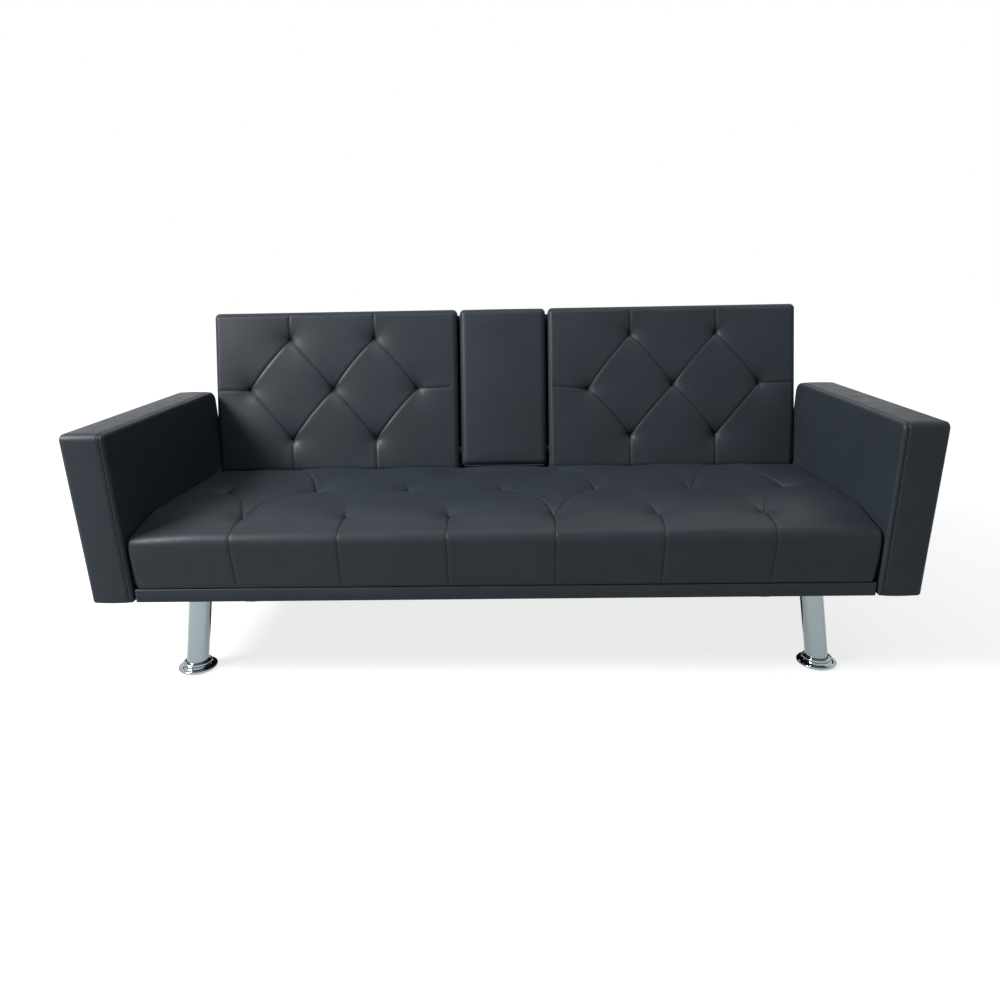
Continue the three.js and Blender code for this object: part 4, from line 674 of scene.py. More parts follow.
def leather_material(name, colour, roughness=0.46):
    """Artificial leather: pebbled grain over soft creases, worn slightly smoother and paler in patches.

    The seam attribute, in millimetres, presses in the sewn lines and darkens them as painted shade.
    """
    node, feed, finish = new_material(name)
    coords = node("TexCoord").outputs["Object"]
    pebbles = node("TexVoronoi", Vector=coords, Scale=620)
    fine = node("TexNoise", Vector=coords, Scale=1500, Detail=3)
    patches = node("TexNoise", Vector=coords, Scale=5.5, Detail=4, Roughness=0.6)
    clouds = node("TexNoise", Vector=coords, Scale=38, Detail=5, Roughness=0.65)
    near = node("Attribute", attribute_name="seam", attribute_type="GEOMETRY").outputs["Fac"]
    line = node("MapRange", Value=near, From_Min=0.25, From_Max=1.8, To_Min=0.0, To_Max=1.0,
                interpolation_type="SMOOTHSTEP")
    shade = two_tone(node, patches, shaded(colour, 0.9), shaded(colour, 1.12), (0.3, 0.72))
    # Painted shade: along the sewn lines and folds the colour drops to a tenth, for the shade in their
    # grooves.
    sewn = node("Mix", data_type="RGBA")
    seam_shade, beside, colour_with_seam_shade = colour_sockets(sewn)
    feed(sewn.inputs["Factor"], line)
    seam_shade.default_value = (*shaded(colour, 0.1), 1)
    feed(beside, shade)
    gloss = node("MapRange", Value=clouds, From_Min=0.3, From_Max=0.75,
                 To_Min=roughness - 0.05, To_Max=roughness + 0.07)
    grain = node("Bump", Height=pebbles.outputs["Distance"], Strength=0.14, Distance=0.0005)
    feed(grain.inputs["Normal"], node("Bump", Height=fine, Strength=0.10, Distance=0.0003))
    creases = node("Bump", Height=clouds, Strength=0.06, Distance=0.0016)
    feed(creases.inputs["Normal"], grain)
    pressed = node("Bump", Height=line, Strength=0.55, Distance=0.0012)
    feed(pressed.inputs["Normal"], creases)
    shader = node("BsdfPrincipled", Roughness=gloss, Normal=pressed)
    feed(shader.inputs["Base Color"], colour_with_seam_shade)
    shader.inputs["Specular IOR Level"].default_value = 0.16
    return finish(shader)


def still(x, s):
    """Skin that doesn't slide."""
    return np.zeros_like(x), np.zeros_like(x)


def soften(t, low, high):
    """Nought up to low, one from high on, and a smooth way between."""
    t = np.clip((t - low) / (high - low), 0, 1)
    return t * t * (3 - 2 * t)


def groove(distance, depth, width):
    """How deep the skin lies at a distance from a line that is pressed or sewn in."""
    return depth * np.exp(-(distance / width) ** 2)


LEATHER = (0.0140, 0.0185, 0.0235)
FRONT_Y = frame_bounds[0].y / MM
ARM_THICKNESS, ARM_DEPTH, ARM_TOP, ARM_BOTTOM, ARM_LEAN = 84, 575, 560, 210, 10
ARM_EDGE, ARM_STRIP_SEAM, ARM_TOPSTITCH = 7, 9, 12.5
ARM_OUTER = frame_bounds[1].x / MM
ARM_CROWN, ARM_STRIP_CROWN = 3.0, 1.6
ARM_PADDING = 10
ARM_TOP_RADIUS, ARM_FOOT_RADIUS, ARM_REAR_RADIUS = 14, 4, 25
ARM_FULLNESS = 3.6  # how much the inner side swells towards the backrest
FULL_DEPTHS, FULL_HEIGHTS = (250, 480), (380, 500)  # over which it comes to that
ARM_SWELL = 5  # how much the outer side swells at the top, and half of it at the foot
SWELL_REACH = 30  # either swell dies away this far into the arm

leather = leather_material("black_leather", LEATHER)


def arm_place(sign):
    """Leans an upright arm outwards, and swells its sides."""
    def place(x, y, z):
        level = ARM_LEAN * (ARM_TOP - z) / (ARM_TOP - ARM_BOTTOM)
        inner = np.clip((arm_inner + SWELL_REACH - x) / SWELL_REACH, 0, 1)
        outer = np.clip((x - ARM_OUTER + SWELL_REACH) / SWELL_REACH, 0, 1)
        full = ARM_FULLNESS * inner * soften(y, *FULL_DEPTHS) * soften(z, *FULL_HEIGHTS)
        swell = ARM_SWELL * outer * (0.5 + 0.5 * soften(z, ARM_BOTTOM, ARM_TOP))
        return np.stack([sign * (x - level - full + swell), y + FRONT_Y, z], 1)
    return place


arm_outline = Outline([
    (0, ARM_TOP, ARM_TOP_RADIUS), (0, ARM_BOTTOM, ARM_FOOT_RADIUS), (ARM_DEPTH, ARM_BOTTOM, ARM_FOOT_RADIUS),
    (ARM_DEPTH, ARM_TOP, ARM_REAR_RADIUS)])
arm_stations = arm_outline.stations([2.2, 7, 2, 9, 2, 7, 3, 7])
arm_inner = ARM_OUTER - ARM_THICKNESS
arm_columns = np.array(sorted({arm_inner + v for v in (
    ARM_EDGE, 8, ARM_STRIP_SEAM, 10, 11, ARM_TOPSTITCH - 0.8, ARM_TOPSTITCH, ARM_TOPSTITCH + 0.8, 14.5, 17,
    21, 27, 34, 42, 50, 58, 65, 70, 74, ARM_THICKNESS - ARM_EDGE)}))


SEAM_DEPTH, TOPSTITCH_DEPTH, SEAM_WIDTH = 0.9, 0.55, 1.1
TOPSTITCH_FAINT = 0.5  # the topstitch's painted seam shade is drawn as if it were this much further off


def arm_relief(x, s):
    """A crown across the strip, pressed in along the seam and along the topstitch."""
    across = (x - arm_inner) / ARM_THICKNESS
    crown = ARM_STRIP_CROWN * np.clip(1 - (2 * across - 1) ** 2, 0, 1) * ((across > 0) & (across < 1))
    seam = groove(np.abs(x - arm_inner - ARM_STRIP_SEAM), SEAM_DEPTH, SEAM_WIDTH)
    return crown - seam - groove(np.abs(x - arm_inner - ARM_TOPSTITCH), TOPSTITCH_DEPTH, SEAM_WIDTH)


def arm_seam(x, s):
    from_stitch = np.abs(x - arm_inner - ARM_TOPSTITCH) + TOPSTITCH_FAINT
    return np.minimum(np.abs(x - arm_inner - ARM_STRIP_SEAM), from_stitch)


STITCH_PITCH, STITCH_LENGTH, THREAD_RADIUS = 5.2, 3.9, 0.5


def thread_material(name, colour):
    """Bonded polyester thread: a twist of fine bright filaments."""
    node, feed, finish = new_material(name)
    twist = node("TexWave", Vector=node("TexCoord").outputs["Object"], Scale=1200, Distortion=1.5)
    bump = node("Bump", Height=twist, Strength=0.4, Distance=0.0001)
    return finish(node("BsdfPrincipled", Base_Color=(*colour, 1), Roughness=0.42, Normal=bump))


def stitches(places, ways, outs):
    """Short thread ridges: places on the leather, with the direction each runs in and faces."""
    sides, rings = 6, ((-0.5, 0.25), (-0.42, 0.75), (-0.2, 1), (0.2, 1), (0.42, 0.75), (0.5, 0.25))
    across = np.cross(outs, ways)
    points, faces = [], []
    for place, way, out, side in zip(places, ways, outs, across):
        base = len(points)
        for along, swell in rings:
            middle = place + way * along * STITCH_LENGTH + out * THREAD_RADIUS * (1.3 * swell - 0.9)
            for k in range(sides):
                angle = 2 * math.pi * k / sides
                points.append((middle + THREAD_RADIUS * swell * (
                    math.cos(angle) * side + math.sin(angle) * out)) * MM)
        for ring in range(len(rings) - 1):
            for k in range(sides):
                m = (k + 1) % sides
                low, high = base + ring * sides, base + (ring + 1) * sides
                faces.append((low + k, low + m, high + m, high + k))
        faces.append(tuple(base + k for k in reversed(range(sides))))
        faces.append(tuple(base + (len(rings) - 1) * sides + k for k in range(sides)))
    return points, faces


thread = thread_material("black_thread", (0.02, 0.022, 0.026))


def arm_topstitch(side, sign):
    """One row of stitches on the strip, beside the inner panel's seam, from the foot over to the rear."""
    reached = arm_outline.reached
    # The outline starts at the front-top corner, goes down, back along the foot and up the rear.
    along = np.concatenate([np.arange(reached[4] + 6, arm_outline.length, STITCH_PITCH),
                            np.arange(0, reached[1] - 8, STITCH_PITCH)])
    x = np.full(len(along), arm_inner + ARM_TOPSTITCH)
    base, normal = arm_outline.at(along)
    lift = arm_relief(x, along)
    ahead = arm_outline.at(np.minimum(along + 0.5, arm_outline.length))[0]
    behind = arm_outline.at(np.maximum(along - 0.5, 0))[0]
    on_arm = arm_place(sign)

    def lay(points, out=0):
        return on_arm(x, points[:, 0] + normal[:, 0] * out, points[:, 1] + normal[:, 1] * out)

    places = lay(base, lift)
    ways = lay(ahead, lift) - lay(behind, lift)
    ways /= np.linalg.norm(ways, axis=1)[:, None]
    outs = lay(base, lift + 1) - places
    outs /= np.linalg.norm(outs, axis=1)[:, None]
    points, faces = stitches(places, ways, outs)
    new_piece(f"arm_{side}_topstitch", points, faces, thread, "root", "leather")


def upholster(name, mesh, body, node_name):
    """A padded form in the leather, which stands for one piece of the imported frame."""
    mesh.materials.append(leather)
    piece = placed(name, mesh)
    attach(piece, body)
    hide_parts(node_name)


HOLLOW_CHAMFER = 12  # off the hollow's upper rear corner, inside the rounded one
HOLLOW_OPEN = 10  # the hollow runs this far out through the arm's underside

for side, sign in SIDES:
    arm_topstitch(side, sign)
    mesh = padded_mesh(f"arm_{side}", arm_outline, arm_stations, arm_columns,
                       end_rings(ARM_EDGE, 5, ARM_CROWN, 150, 16), arm_relief, still, arm_place(sign),
                       arm_seam, box=((0, ARM_BOTTOM), (ARM_DEPTH, ARM_TOP)))
    inner, outer = arm_inner + ARM_PADDING, ARM_OUTER - ARM_PADDING
    front, rear, top = ARM_PADDING, ARM_DEPTH - ARM_PADDING, ARM_TOP - ARM_PADDING
    hollow = slab([(front, ARM_BOTTOM - HOLLOW_OPEN), (rear, ARM_BOTTOM - HOLLOW_OPEN),
                   (rear, top - HOLLOW_CHAMFER), (rear - HOLLOW_CHAMFER, top), (front, top)],
                  (inner, outer), arm_place(sign))
    upholster(f"arm_{side}_upholstery", hollowed(mesh, hollow), "root", f"arm_cover_{side}")

dress(plastic_material("arm_cap_plastic", (0.018, 0.018, 0.02), 0.55, 700), "arm_cap_left", "arm_cap_right")


# ---------- Seat band ----------
# A narrow strip of the same artificial leather over thin foam, stapled to the front rail. It closes
# the seat frame's front, under the cushion.
SEAT_FRONT, BAND_THICKNESS, BAND_HEIGHT, BASE_BOTTOM = 3, 9.7, 29, 209
BASE_HALF, BAND_HALF = 740, 748.5
BAND_END_RADIUS = 2
BAND_PUFF, BAND_RIPPLE = 1.6, 0.4


def level_place(x, y, z):
    return np.stack([x, y + FRONT_Y, z], 1)


band_outline = Outline([(SEAT_FRONT, BASE_BOTTOM + BAND_HEIGHT, 4), (SEAT_FRONT, BASE_BOTTOM, 3),
                        (SEAT_FRONT + BAND_THICKNESS, BASE_BOTTOM, 1),
                        (SEAT_FRONT + BAND_THICKNESS, BASE_BOTTOM + BAND_HEIGHT, 1)])


def waves(x, seed, count, heights, lengths):
    """Long shallow waves along a stretched skin."""
    rng = random.Random(seed)
    return sum(rng.uniform(*heights) * np.sin(x / rng.uniform(*lengths) + rng.uniform(0, 6))
               for _ in range(count))


def band_relief(x, s):
    """A slightly slack strip: ripples along it, fullest at mid-height."""
    low, high = band_outline.reached[:2]
    middle = np.clip(1 - ((s - (low + high) / 2) / ((high - low) / 2)) ** 2, 0, 1)
    return middle * (BAND_PUFF + BAND_RIPPLE * waves(x, 11, 6, (0.3, 1), (35, 160)))


band_box = ((SEAT_FRONT, BASE_BOTTOM), (SEAT_FRONT + BAND_THICKNESS, BASE_BOTTOM + BAND_HEIGHT))
band_straight = BAND_HALF - BAND_END_RADIUS
band_mesh = padded_mesh("band", band_outline, band_outline.stations([1, 2.2, 1, 4, 1, 8, 1, 4]),
                        np.linspace(-band_straight, band_straight, 380),
                        end_rings(BAND_END_RADIUS, 3, 0.3, 4, 2), band_relief, still, level_place,
                        lambda x, s: np.full_like(x, UNSEWN), box=band_box)
upholster("seat_band_upholstery", band_mesh, "root", "seat_band")


# ---------- Seat cushion ----------
# One long foam cushion under leather. Tufts pull its top down in three staggered rows, with sewn folds
# in diamonds between them, and a seam runs from each front tuft over the edge and down the front.
CREASE_DEPTH, SEAT_TOP_REAR, SEAT_RISE = 526, 358, 9
SEAT_FRONT_RADIUS, SEAT_REAR_RADIUS, SEAT_END_RADIUS = 24, 28, 8
SEAT_BROW, SEAT_BROW_DROP, SEAT_BROW_RADIUS = 105, 17, 500
SEAT_HALF, SEAT_BULGE_HEIGHT = 752.07, 335
SEAT_REAR, SEAT_UNDER, SEAT_FRONT_BOTTOM = 530.19, 300.3, 238.5
SEAT_PITCH, SEAT_ROW, SEAT_TUFT_RISE, SEAT_REACH = 218, 300, 200, 6
REAR_CROWN, CONSOLE_CROWN = 9, 8  # of the seat's rear edge, under the back cushions and the console
FLANK_INNER, FLANK_OUTER = 116, 190  # across which the one crown gives way to the other
CORNER_DROP = 7  # of the front corners
REAR_CROWN_FROM, CONSOLE_CROWN_FROM = (330, 450), (440, 485)  # depths over which each crown rises
SEAT_CLEAR = 0.5  # the rear edge keeps back by this much
SEAT_FAINT = 1.6  # where its folds let go, their painted seam shade is drawn as if this much further off
END_FILL, END_FILL_REACH = 0.5, 60  # share of the pressure at the ends, and the way in to all of it
PRINT_HALF, PRINT_EDGE, PRINT_FRONT, PRINT_SHARE = 185, 75, (110, 170), 0.85  # left by the folded console
REAR_FADE, FOOT_FADE, END_FADE = 70, 8, 12  # over which the relief dies away
FRONT_SHARE, FRONT_BLEND = 0.32, (10, 84)  # of the relief that is left on the front face
FRONT_FOOT = 118  # the relief on the front face ends this far below nought


SLIDE_SPREAD = 24  # how far off a fold's middle the skin slides with it, and further by its bow
LEAST_BOW = 0.3  # of the most that a diagonal fold bends
WRINKLES, WRINKLE_LENGTHS, WRINKLE_DEPTHS = (2, 4), (12, 30), (0.5, 1.3)  # short ones, round each tuft


class Tufting:
    """Tufts in three staggered rows, with sewn folds in diamonds, to the edges and to the sides.

    Places are (x, v): across, and along the skin. Tufts stand a pitch apart in their row, and the
    outermost are reach half pitches from the centre. The outer folds end at side, front and rear. bow
    and front_bow are the most that folds bend sideways, and hold is how firmly the diagonal ones are
    held, from the least to the most.
    """

    def __init__(self, centre, pitch, row, rise, reach, side, front, rear, seed, bow, front_bow, hold):
        rng = random.Random(seed)
        half = pitch / 2
        self.spread = SLIDE_SPREAD + bow
        self.tufts, self.folds = [], []  # folds: start, end, bow, firmness, kind

        def place(k, level):
            return np.array([centre + k * half, row + level * rise])

        self.tufts += [place(k, 0) for k in range(-reach, reach + 1, 2)]
        for k in range(1 - reach, reach, 2):
            for level in (-1, 1):
                tuft = place(k, level)
                self.tufts.append(tuft)
                for side_step in (-1, 1):
                    bend = bow * rng.uniform(LEAST_BOW, 1) * side_step
                    self.folds.append((tuft, place(k + side_step, 0), bend, rng.uniform(*hold), "fold"))
                edge = np.array([tuft[0], front if level < 0 else rear])
                self.folds.append((tuft, edge, front_bow * rng.uniform(-1, 1) if level < 0 else 0,
                                   1 if level < 0 else rng.uniform(0.6, 1), "edge"))
        for end in (-1, 1):
            outer = place(end * reach, 0)
            self.folds.append((outer, np.array([centre + end * side, row]), 0, rng.uniform(0.4, 0.8), "edge"))
        self.wrinkles = []
        for tuft in self.tufts:
            for _ in range(rng.randint(*WRINKLES)):
                angle = rng.uniform(0, 2 * math.pi)
                length = rng.uniform(*WRINKLE_LENGTHS)
                self.wrinkles.append((tuft, angle, length, rng.uniform(*WRINKLE_DEPTHS)))

    def measure(self, x, v):
        """Distance to the nearest fold, from there to its tuft, its firmness, and distance to a tuft."""
        nearest = np.full(x.shape, 1e3)
        ends = np.full(x.shape, 1e3)
        firm = np.ones(x.shape)
        for start, end, _, hold, kind in self.folds:
            along = end - start
            length = np.hypot(*along)
            t = np.clip(((x - start[0]) * along[0] + (v - start[1]) * along[1]) / length ** 2, 0, 1)
            d = np.hypot(x - start[0] - t * along[0], v - start[1] - t * along[1])
            closer = d < nearest
            nearest = np.where(closer, d, nearest)
            from_end = np.minimum(t, 1 - t) * length if kind == "fold" else t * length
            ends = np.where(closer, from_end, ends)
            firm = np.where(closer, hold, firm)
        tuft = np.min([np.hypot(x - p[0], v - p[1]) for p in self.tufts], axis=0)
        return nearest, ends, firm, tuft

    def slide(self, x, v):
        """Folds bow a little: the skin slides sideways round them."""
        move_x, move_v = np.zeros_like(x), np.zeros_like(x)
        for start, end, bow, *_ in self.folds:
            if not bow:
                continue
            along = end - start
            length = np.hypot(*along)
            t = ((x - start[0]) * along[0] + (v - start[1]) * along[1]) / length ** 2
            off = ((x - start[0]) * -along[1] + (v - start[1]) * along[0]) / length
            share = np.sin(np.clip(t, 0, 1) * math.pi) * np.exp(-(off / self.spread) ** 2)
            move_x += bow * share * -along[1] / length
            move_v += bow * share * along[0] / length
        return move_x, move_v


PULL_REACH, FOLD_REACH = 16, 40  # how far a tuft's pull runs along a fold, and how far it keeps it tight
CONE_REACH = 15  # how far a tuft draws the skin in all round it
VALLEY_WIDTH, WRINKLE_WIDTH = 2.8, 2.6  # half the width of a fold, and of a short wrinkle
HELD_TUFT, HELD_FOLD, FOLD_DEPTH = 50, 0.0005, 0.2  # how hard each holds, and how deep a fold lies
ROUNDS, OVERSHOOT = 420, 1.93


def membrane(step_x, step_v, pressure, held, depth):
    """Relaxes a stretched skin over soft padding: pressure lifts it, held nodes pull it to a depth.

    Each round overshoots a little, on the even places of the grid and then on the odd ones.
    """
    height = np.zeros(held.shape)
    wx, wv = 1 / step_x ** 2, 1 / step_v ** 2
    total = 2 * (wx + wv)
    i, j = np.indices(held.shape)
    for _ in range(ROUNDS):
        for colour in (0, 1):
            around = np.zeros(held.shape)
            around[1:-1, 1:-1] = (wx * (height[:-2, 1:-1] + height[2:, 1:-1])
                                  + wv * (height[1:-1, :-2] + height[1:-1, 2:]))
            wanted = (around + pressure - held * depth) / (total + held)
            mine = ((i + j) % 2 == colour)
            mine[0], mine[-1], mine[:, 0], mine[:, -1] = False, False, False, False
            height = np.where(mine, height + OVERSHOOT * (wanted - height), height)
    return height


def fold_strength(ends, firm):
    """A fold is drawn tight by its tufts and lets go between them, less so where it is held firmly."""
    return np.clip(firm + 1.1 * np.exp(-ends / FOLD_REACH), 0, 1)


def seam_shade_distance(tufting, x, v, faint):
    """Distance to the nearest fold, and more where the fold lets go, so that its painted shade fades."""
    near, ends, firm, _ = tufting.measure(x, v)
    return near + faint * (1 - fold_strength(ends, firm))


def sewn_relief(tufting, columns, rows, pressure, tuft_depth, cone, valley, grip, calm):
    """How far tufted leather stands out on a regular grid, by relaxing it and pressing its folds in."""
    x, v = np.meshgrid(columns, rows, indexing="ij")
    near, ends, firm, tuft = tufting.measure(x, v)
    pull = np.exp(-ends / PULL_REACH)
    depth = FOLD_DEPTH + tuft_depth * np.exp(-tuft / CONE_REACH)
    held = np.where(near < ON_LINE, HELD_FOLD + 0.2 * pull + grip * np.clip(firm, 0, 1), 0)
    held = np.where(tuft < ON_LINE, HELD_TUFT, held)
    height = membrane(columns[1] - columns[0], rows[1] - rows[0], pressure * calm(x, v), held, depth)
    drawn = fold_strength(ends, firm)
    height -= groove(near, valley, VALLEY_WIDTH) * drawn + cone * np.exp(-tuft / CONE_REACH)
    for place, angle, reach, strength in tufting.wrinkles:
        way = np.array([math.cos(angle), math.sin(angle)])
        along = (x - place[0]) * way[0] + (v - place[1]) * way[1]
        off = (x - place[0]) * -way[1] + (v - place[1]) * way[0]
        height -= strength * (groove(along - reach * 0.45, 1, reach * 0.4) * groove(off, 1, WRINKLE_WIDTH))
    return height


def sampled(columns, rows, values):
    """Reads a regular grid of values anywhere, holding its edge values beyond it."""
    def read(x, v):
        fx = np.clip((x - columns[0]) / (columns[1] - columns[0]), 0, len(columns) - 1.001)
        fv = np.clip((v - rows[0]) / (rows[1] - rows[0]), 0, len(rows) - 1.001)
        i, j = fx.astype(int), fv.astype(int)
        tx, tv = fx - i, fv - j
        return (values[i, j] * (1 - tx) * (1 - tv) + values[i + 1, j] * tx * (1 - tv)
                + values[i, j + 1] * (1 - tx) * tv + values[i + 1, j + 1] * tx * tv)
    return read


def seat_place(x, y, z):
    low = BASE_HALF / SEAT_HALF
    swell = np.sqrt(np.clip((z - SEAT_FRONT_BOTTOM) / (SEAT_BULGE_HEIGHT - SEAT_FRONT_BOTTOM), 0, 1))
    taper = np.where(z >= SEAT_BULGE_HEIGHT, 1, low + (1 - low) * swell)
    return np.stack([x * taper, y + FRONT_Y, z], 1)


FLAP_REAR, FLAP_RADIUS = 12.7, 4
seat_outline = Outline([
    (SEAT_REAR, SEAT_UNDER), (SEAT_REAR, SEAT_TOP_REAR, SEAT_REAR_RADIUS),
    (SEAT_FRONT + SEAT_BROW, SEAT_TOP_REAR + SEAT_RISE, SEAT_BROW_RADIUS),
    (SEAT_FRONT, SEAT_TOP_REAR + SEAT_RISE - SEAT_BROW_DROP, SEAT_FRONT_RADIUS),
    (SEAT_FRONT, SEAT_FRONT_BOTTOM, FLAP_RADIUS),
    (FLAP_REAR, SEAT_FRONT_BOTTOM), (FLAP_REAR, SEAT_UNDER)])
# Along the skin, depth runs back from the arms' front; the front face continues below nought.
SEAT_OFFSET = SEAT_REAR + (SEAT_TOP_REAR - SEAT_UNDER) - (2 - math.pi / 2) * SEAT_REAR_RADIUS
SEAT_CELLS = 32
cell_x, cell_v = SEAT_PITCH / 2 / SEAT_CELLS, SEAT_TUFT_RISE / SEAT_CELLS

seat_tufting = Tufting(0, SEAT_PITCH, SEAT_ROW, SEAT_TUFT_RISE, SEAT_REACH, side=SEAT_HALF + 40, front=-400,
                       rear=SEAT_REAR + 60, seed=5, bow=20, front_bow=5, hold=(-0.6, 0.75))


def seat_calm(x, v):
    """The foam fills the leather less near the ends, and where the folded console has lain."""
    under_console = soften(PRINT_HALF - np.abs(x), 0, PRINT_EDGE) * soften(v, *PRINT_FRONT)
    filled = END_FILL + (1 - END_FILL) * soften(SEAT_HALF + 6 - np.abs(x), 0, END_FILL_REACH)
    return filled * (1 - PRINT_SHARE * under_console)


grid_reach = int((SEAT_HALF + 8) / cell_x)
grid_columns = cell_x * np.arange(-grid_reach, grid_reach + 1)
grid_rows = SEAT_ROW + cell_v * np.arange(-math.ceil((SEAT_ROW + 130) / cell_v), math.ceil(240 / cell_v) + 1)
seat_height = sampled(grid_columns, grid_rows, sewn_relief(
    seat_tufting, grid_columns, grid_rows, pressure=0.0013, tuft_depth=10, cone=3.5, valley=2.8, grip=0.0002,
    calm=seat_calm))


def seat_fade(x, v):
    """The relief dies away towards the rear edge and the ends, and lies low on the front face."""
    front = FRONT_SHARE + (1 - FRONT_SHARE) * soften(v, *FRONT_BLEND)
    return (soften(SEAT_REAR - v, 0, REAR_FADE) * soften(v + FRONT_FOOT, 0, FOOT_FADE) * front
            * soften(SEAT_HALF + 3 - np.abs(x), 0, END_FADE))


def on_seat_skin(s):
    """True on the rear, the top and the front face, and not on the flap below them."""
    return s < seat_outline.reached[6] - 0.01


def seat_relief(x, s):
    v, aside = SEAT_OFFSET - s, np.abs(x)
    along = soften(SEAT_HALF - aside, 0, 160)
    behind = soften(SEAT_HALF - 32 - aside, 0, 150) * soften(aside, FLANK_INNER, FLANK_OUTER)
    under_console = soften(FLANK_OUTER - aside, 0, FLANK_OUTER - FLANK_INNER)
    rear_crown = REAR_CROWN * soften(v, *REAR_CROWN_FROM) * soften(SEAT_REAR - 4 - v, 0, 60) * behind
    at_rear = soften(v, *CONSOLE_CROWN_FROM) * soften(SEAT_REAR - 6 - v, 0, 36)
    rear_crown += CONSOLE_CROWN * at_rear * under_console
    corner_drop = CORNER_DROP * (1 - along) * soften(v, -40, 30) * soften(150 - v, 0, 110)
    clear = SEAT_CLEAR * soften(v, SEAT_REAR - 12, SEAT_REAR)
    rise = seat_height(x, v) * seat_fade(x, v) + rear_crown - corner_drop - clear
    return np.where(on_seat_skin(s), rise, 0)


def seat_slide(x, s):
    v = SEAT_OFFSET - s
    move_x, move_v = seat_tufting.slide(x, v)
    share = seat_fade(x, v) * on_seat_skin(s)
    return move_x * np.minimum(share * 3, 1), -move_v * share


def seat_folds(x, s):
    return np.where(on_seat_skin(s), seat_tufting.measure(x, SEAT_OFFSET - s)[0], UNSEWN)


def seat_seam(x, s):
    return np.where(on_seat_skin(s), seam_shade_distance(seat_tufting, x, SEAT_OFFSET - s, SEAT_FAINT), UNSEWN)


rise_end, rear_end = seat_outline.reached[:2]
slope_end, arc_end, drop_end, turn_end, flap_end, inner_end = seat_outline.reached[4:10]
crown_rows = SEAT_OFFSET - (SEAT_ROW + cell_v * np.arange(-60, 61))
crown_rows = np.sort(crown_rows[(crown_rows > rear_end + 2) & (crown_rows < slope_end - 2)])
seat_stations = np.concatenate([
    np.linspace(0, rise_end, 5)[:-1], np.linspace(rise_end, rear_end, 9), crown_rows,
    np.linspace(slope_end, arc_end, 11), np.linspace(arc_end, drop_end, 28)[1:],
    np.linspace(drop_end, turn_end, 5)[1:], np.linspace(turn_end, flap_end, 3)[1:],
    np.linspace(flap_end, inner_end, 6)[1:], np.linspace(inner_end, seat_outline.length, 16)[1:-1]])
seat_straight = SEAT_HALF - SEAT_END_RADIUS
seat_columns = np.concatenate([
    [-seat_straight], grid_columns[np.abs(grid_columns) < seat_straight], [seat_straight]])
seat_mesh = padded_mesh("seat", seat_outline, seat_stations, seat_columns,
                        end_rings(SEAT_END_RADIUS, 4, 0, 8, 0), seat_relief, seat_slide, seat_place,
                        seat_seam, folds=seat_folds)
upholster("seat_cushion_upholstery", seat_mesh, "root", "seat_cushion")


# ---------- Backrest frame and rear cover ----------
# The backrest is one timber frame on two click-clack hinges. Leather is stretched over its rear and
# edges, and a leather-covered panel closes the recess behind the console.
BACK_TILT = math.radians(14)
BACK_HEIGHT, BACK_THICKNESS, BACK_BOTTOM = 410, 110, -23.19
BACK_HALF, CUSHION_INNER = 750.23, 118
CUSHION_REAR, FRAME_FRONT = 83.7, 84.0


def back_place(x, b, u):
    y = CREASE_DEPTH + u * math.sin(BACK_TILT) + b * math.cos(BACK_TILT) + FRONT_Y
    z = SEAT_TOP_REAR + u * math.cos(BACK_TILT) - b * math.sin(BACK_TILT)
    return np.stack([x, y, z], 1)


WIDENING, WIDENED_AT = 5, 150  # the backrest fills the room between the leaning arms up to their tops
COVER_EDGE, COVER_END = 11, 8  # roundings of the rear edges and of the ends
COVER_SEAM = 4  # from the edge's rounding to the seam
COVER_SINK = 2.2
COVER_SEAM_DEPTH, COVER_SEAM_WIDTH = 0.7, 1.6
COVER_REAR, COVER_SIDES = 6, 3  # how thick the cover is behind the frame, and round it


def widened(x, u):
    """Spreads the backrest's outer parts as it rises; its middle keeps its width."""
    share = np.clip((np.abs(x) - CUSHION_INNER) / (BACK_HALF - CUSHION_INNER), 0, 1)
    return x + np.sign(x) * WIDENING * share * soften(u, -20, WIDENED_AT)


cover_outline = Outline([
    (FRAME_FRONT, BACK_HEIGHT, 2), (FRAME_FRONT, BACK_BOTTOM, 2), (BACK_THICKNESS, BACK_BOTTOM, COVER_EDGE),
    (BACK_THICKNESS, BACK_HEIGHT, COVER_EDGE)])


def from_border(dx, ds):
    """Distance to a rectangle's sides, from how far a point lies past them: across, and along."""
    outside = np.hypot(np.maximum(dx, 0), np.maximum(ds, 0))
    return np.where((dx > 0) | (ds > 0), outside, np.minimum(-dx, -ds))


def cover_seam(x, s):
    """The rear panel is sewn to its border just inside the edge."""
    begin, end = cover_outline.reached[4] + COVER_SEAM, cover_outline.reached[5] - COVER_SEAM
    return from_border(np.abs(x) - (BACK_HALF - COVER_END - COVER_SEAM), np.maximum(begin - s, s - end))


def cover_relief(x, s):
    """Taut cloth over the frame: it sinks a little between the members."""
    begin, end = cover_outline.reached[4], cover_outline.reached[5]
    up = np.clip((s - begin) / (end - begin), 0, 1)
    across = np.clip(1 - (x / BACK_HALF) ** 2, 0, 1)
    pull = waves(x, 3, 5, (-0.2, 0.2), (60, 240))
    sunk = np.sin(up * math.pi) ** 1.2 * (COVER_SINK + pull) * across ** 0.3
    seam = groove(cover_seam(x, s), COVER_SEAM_DEPTH, COVER_SEAM_WIDTH)
    return np.where((s > begin) & (s < end), -sunk, 0) - seam


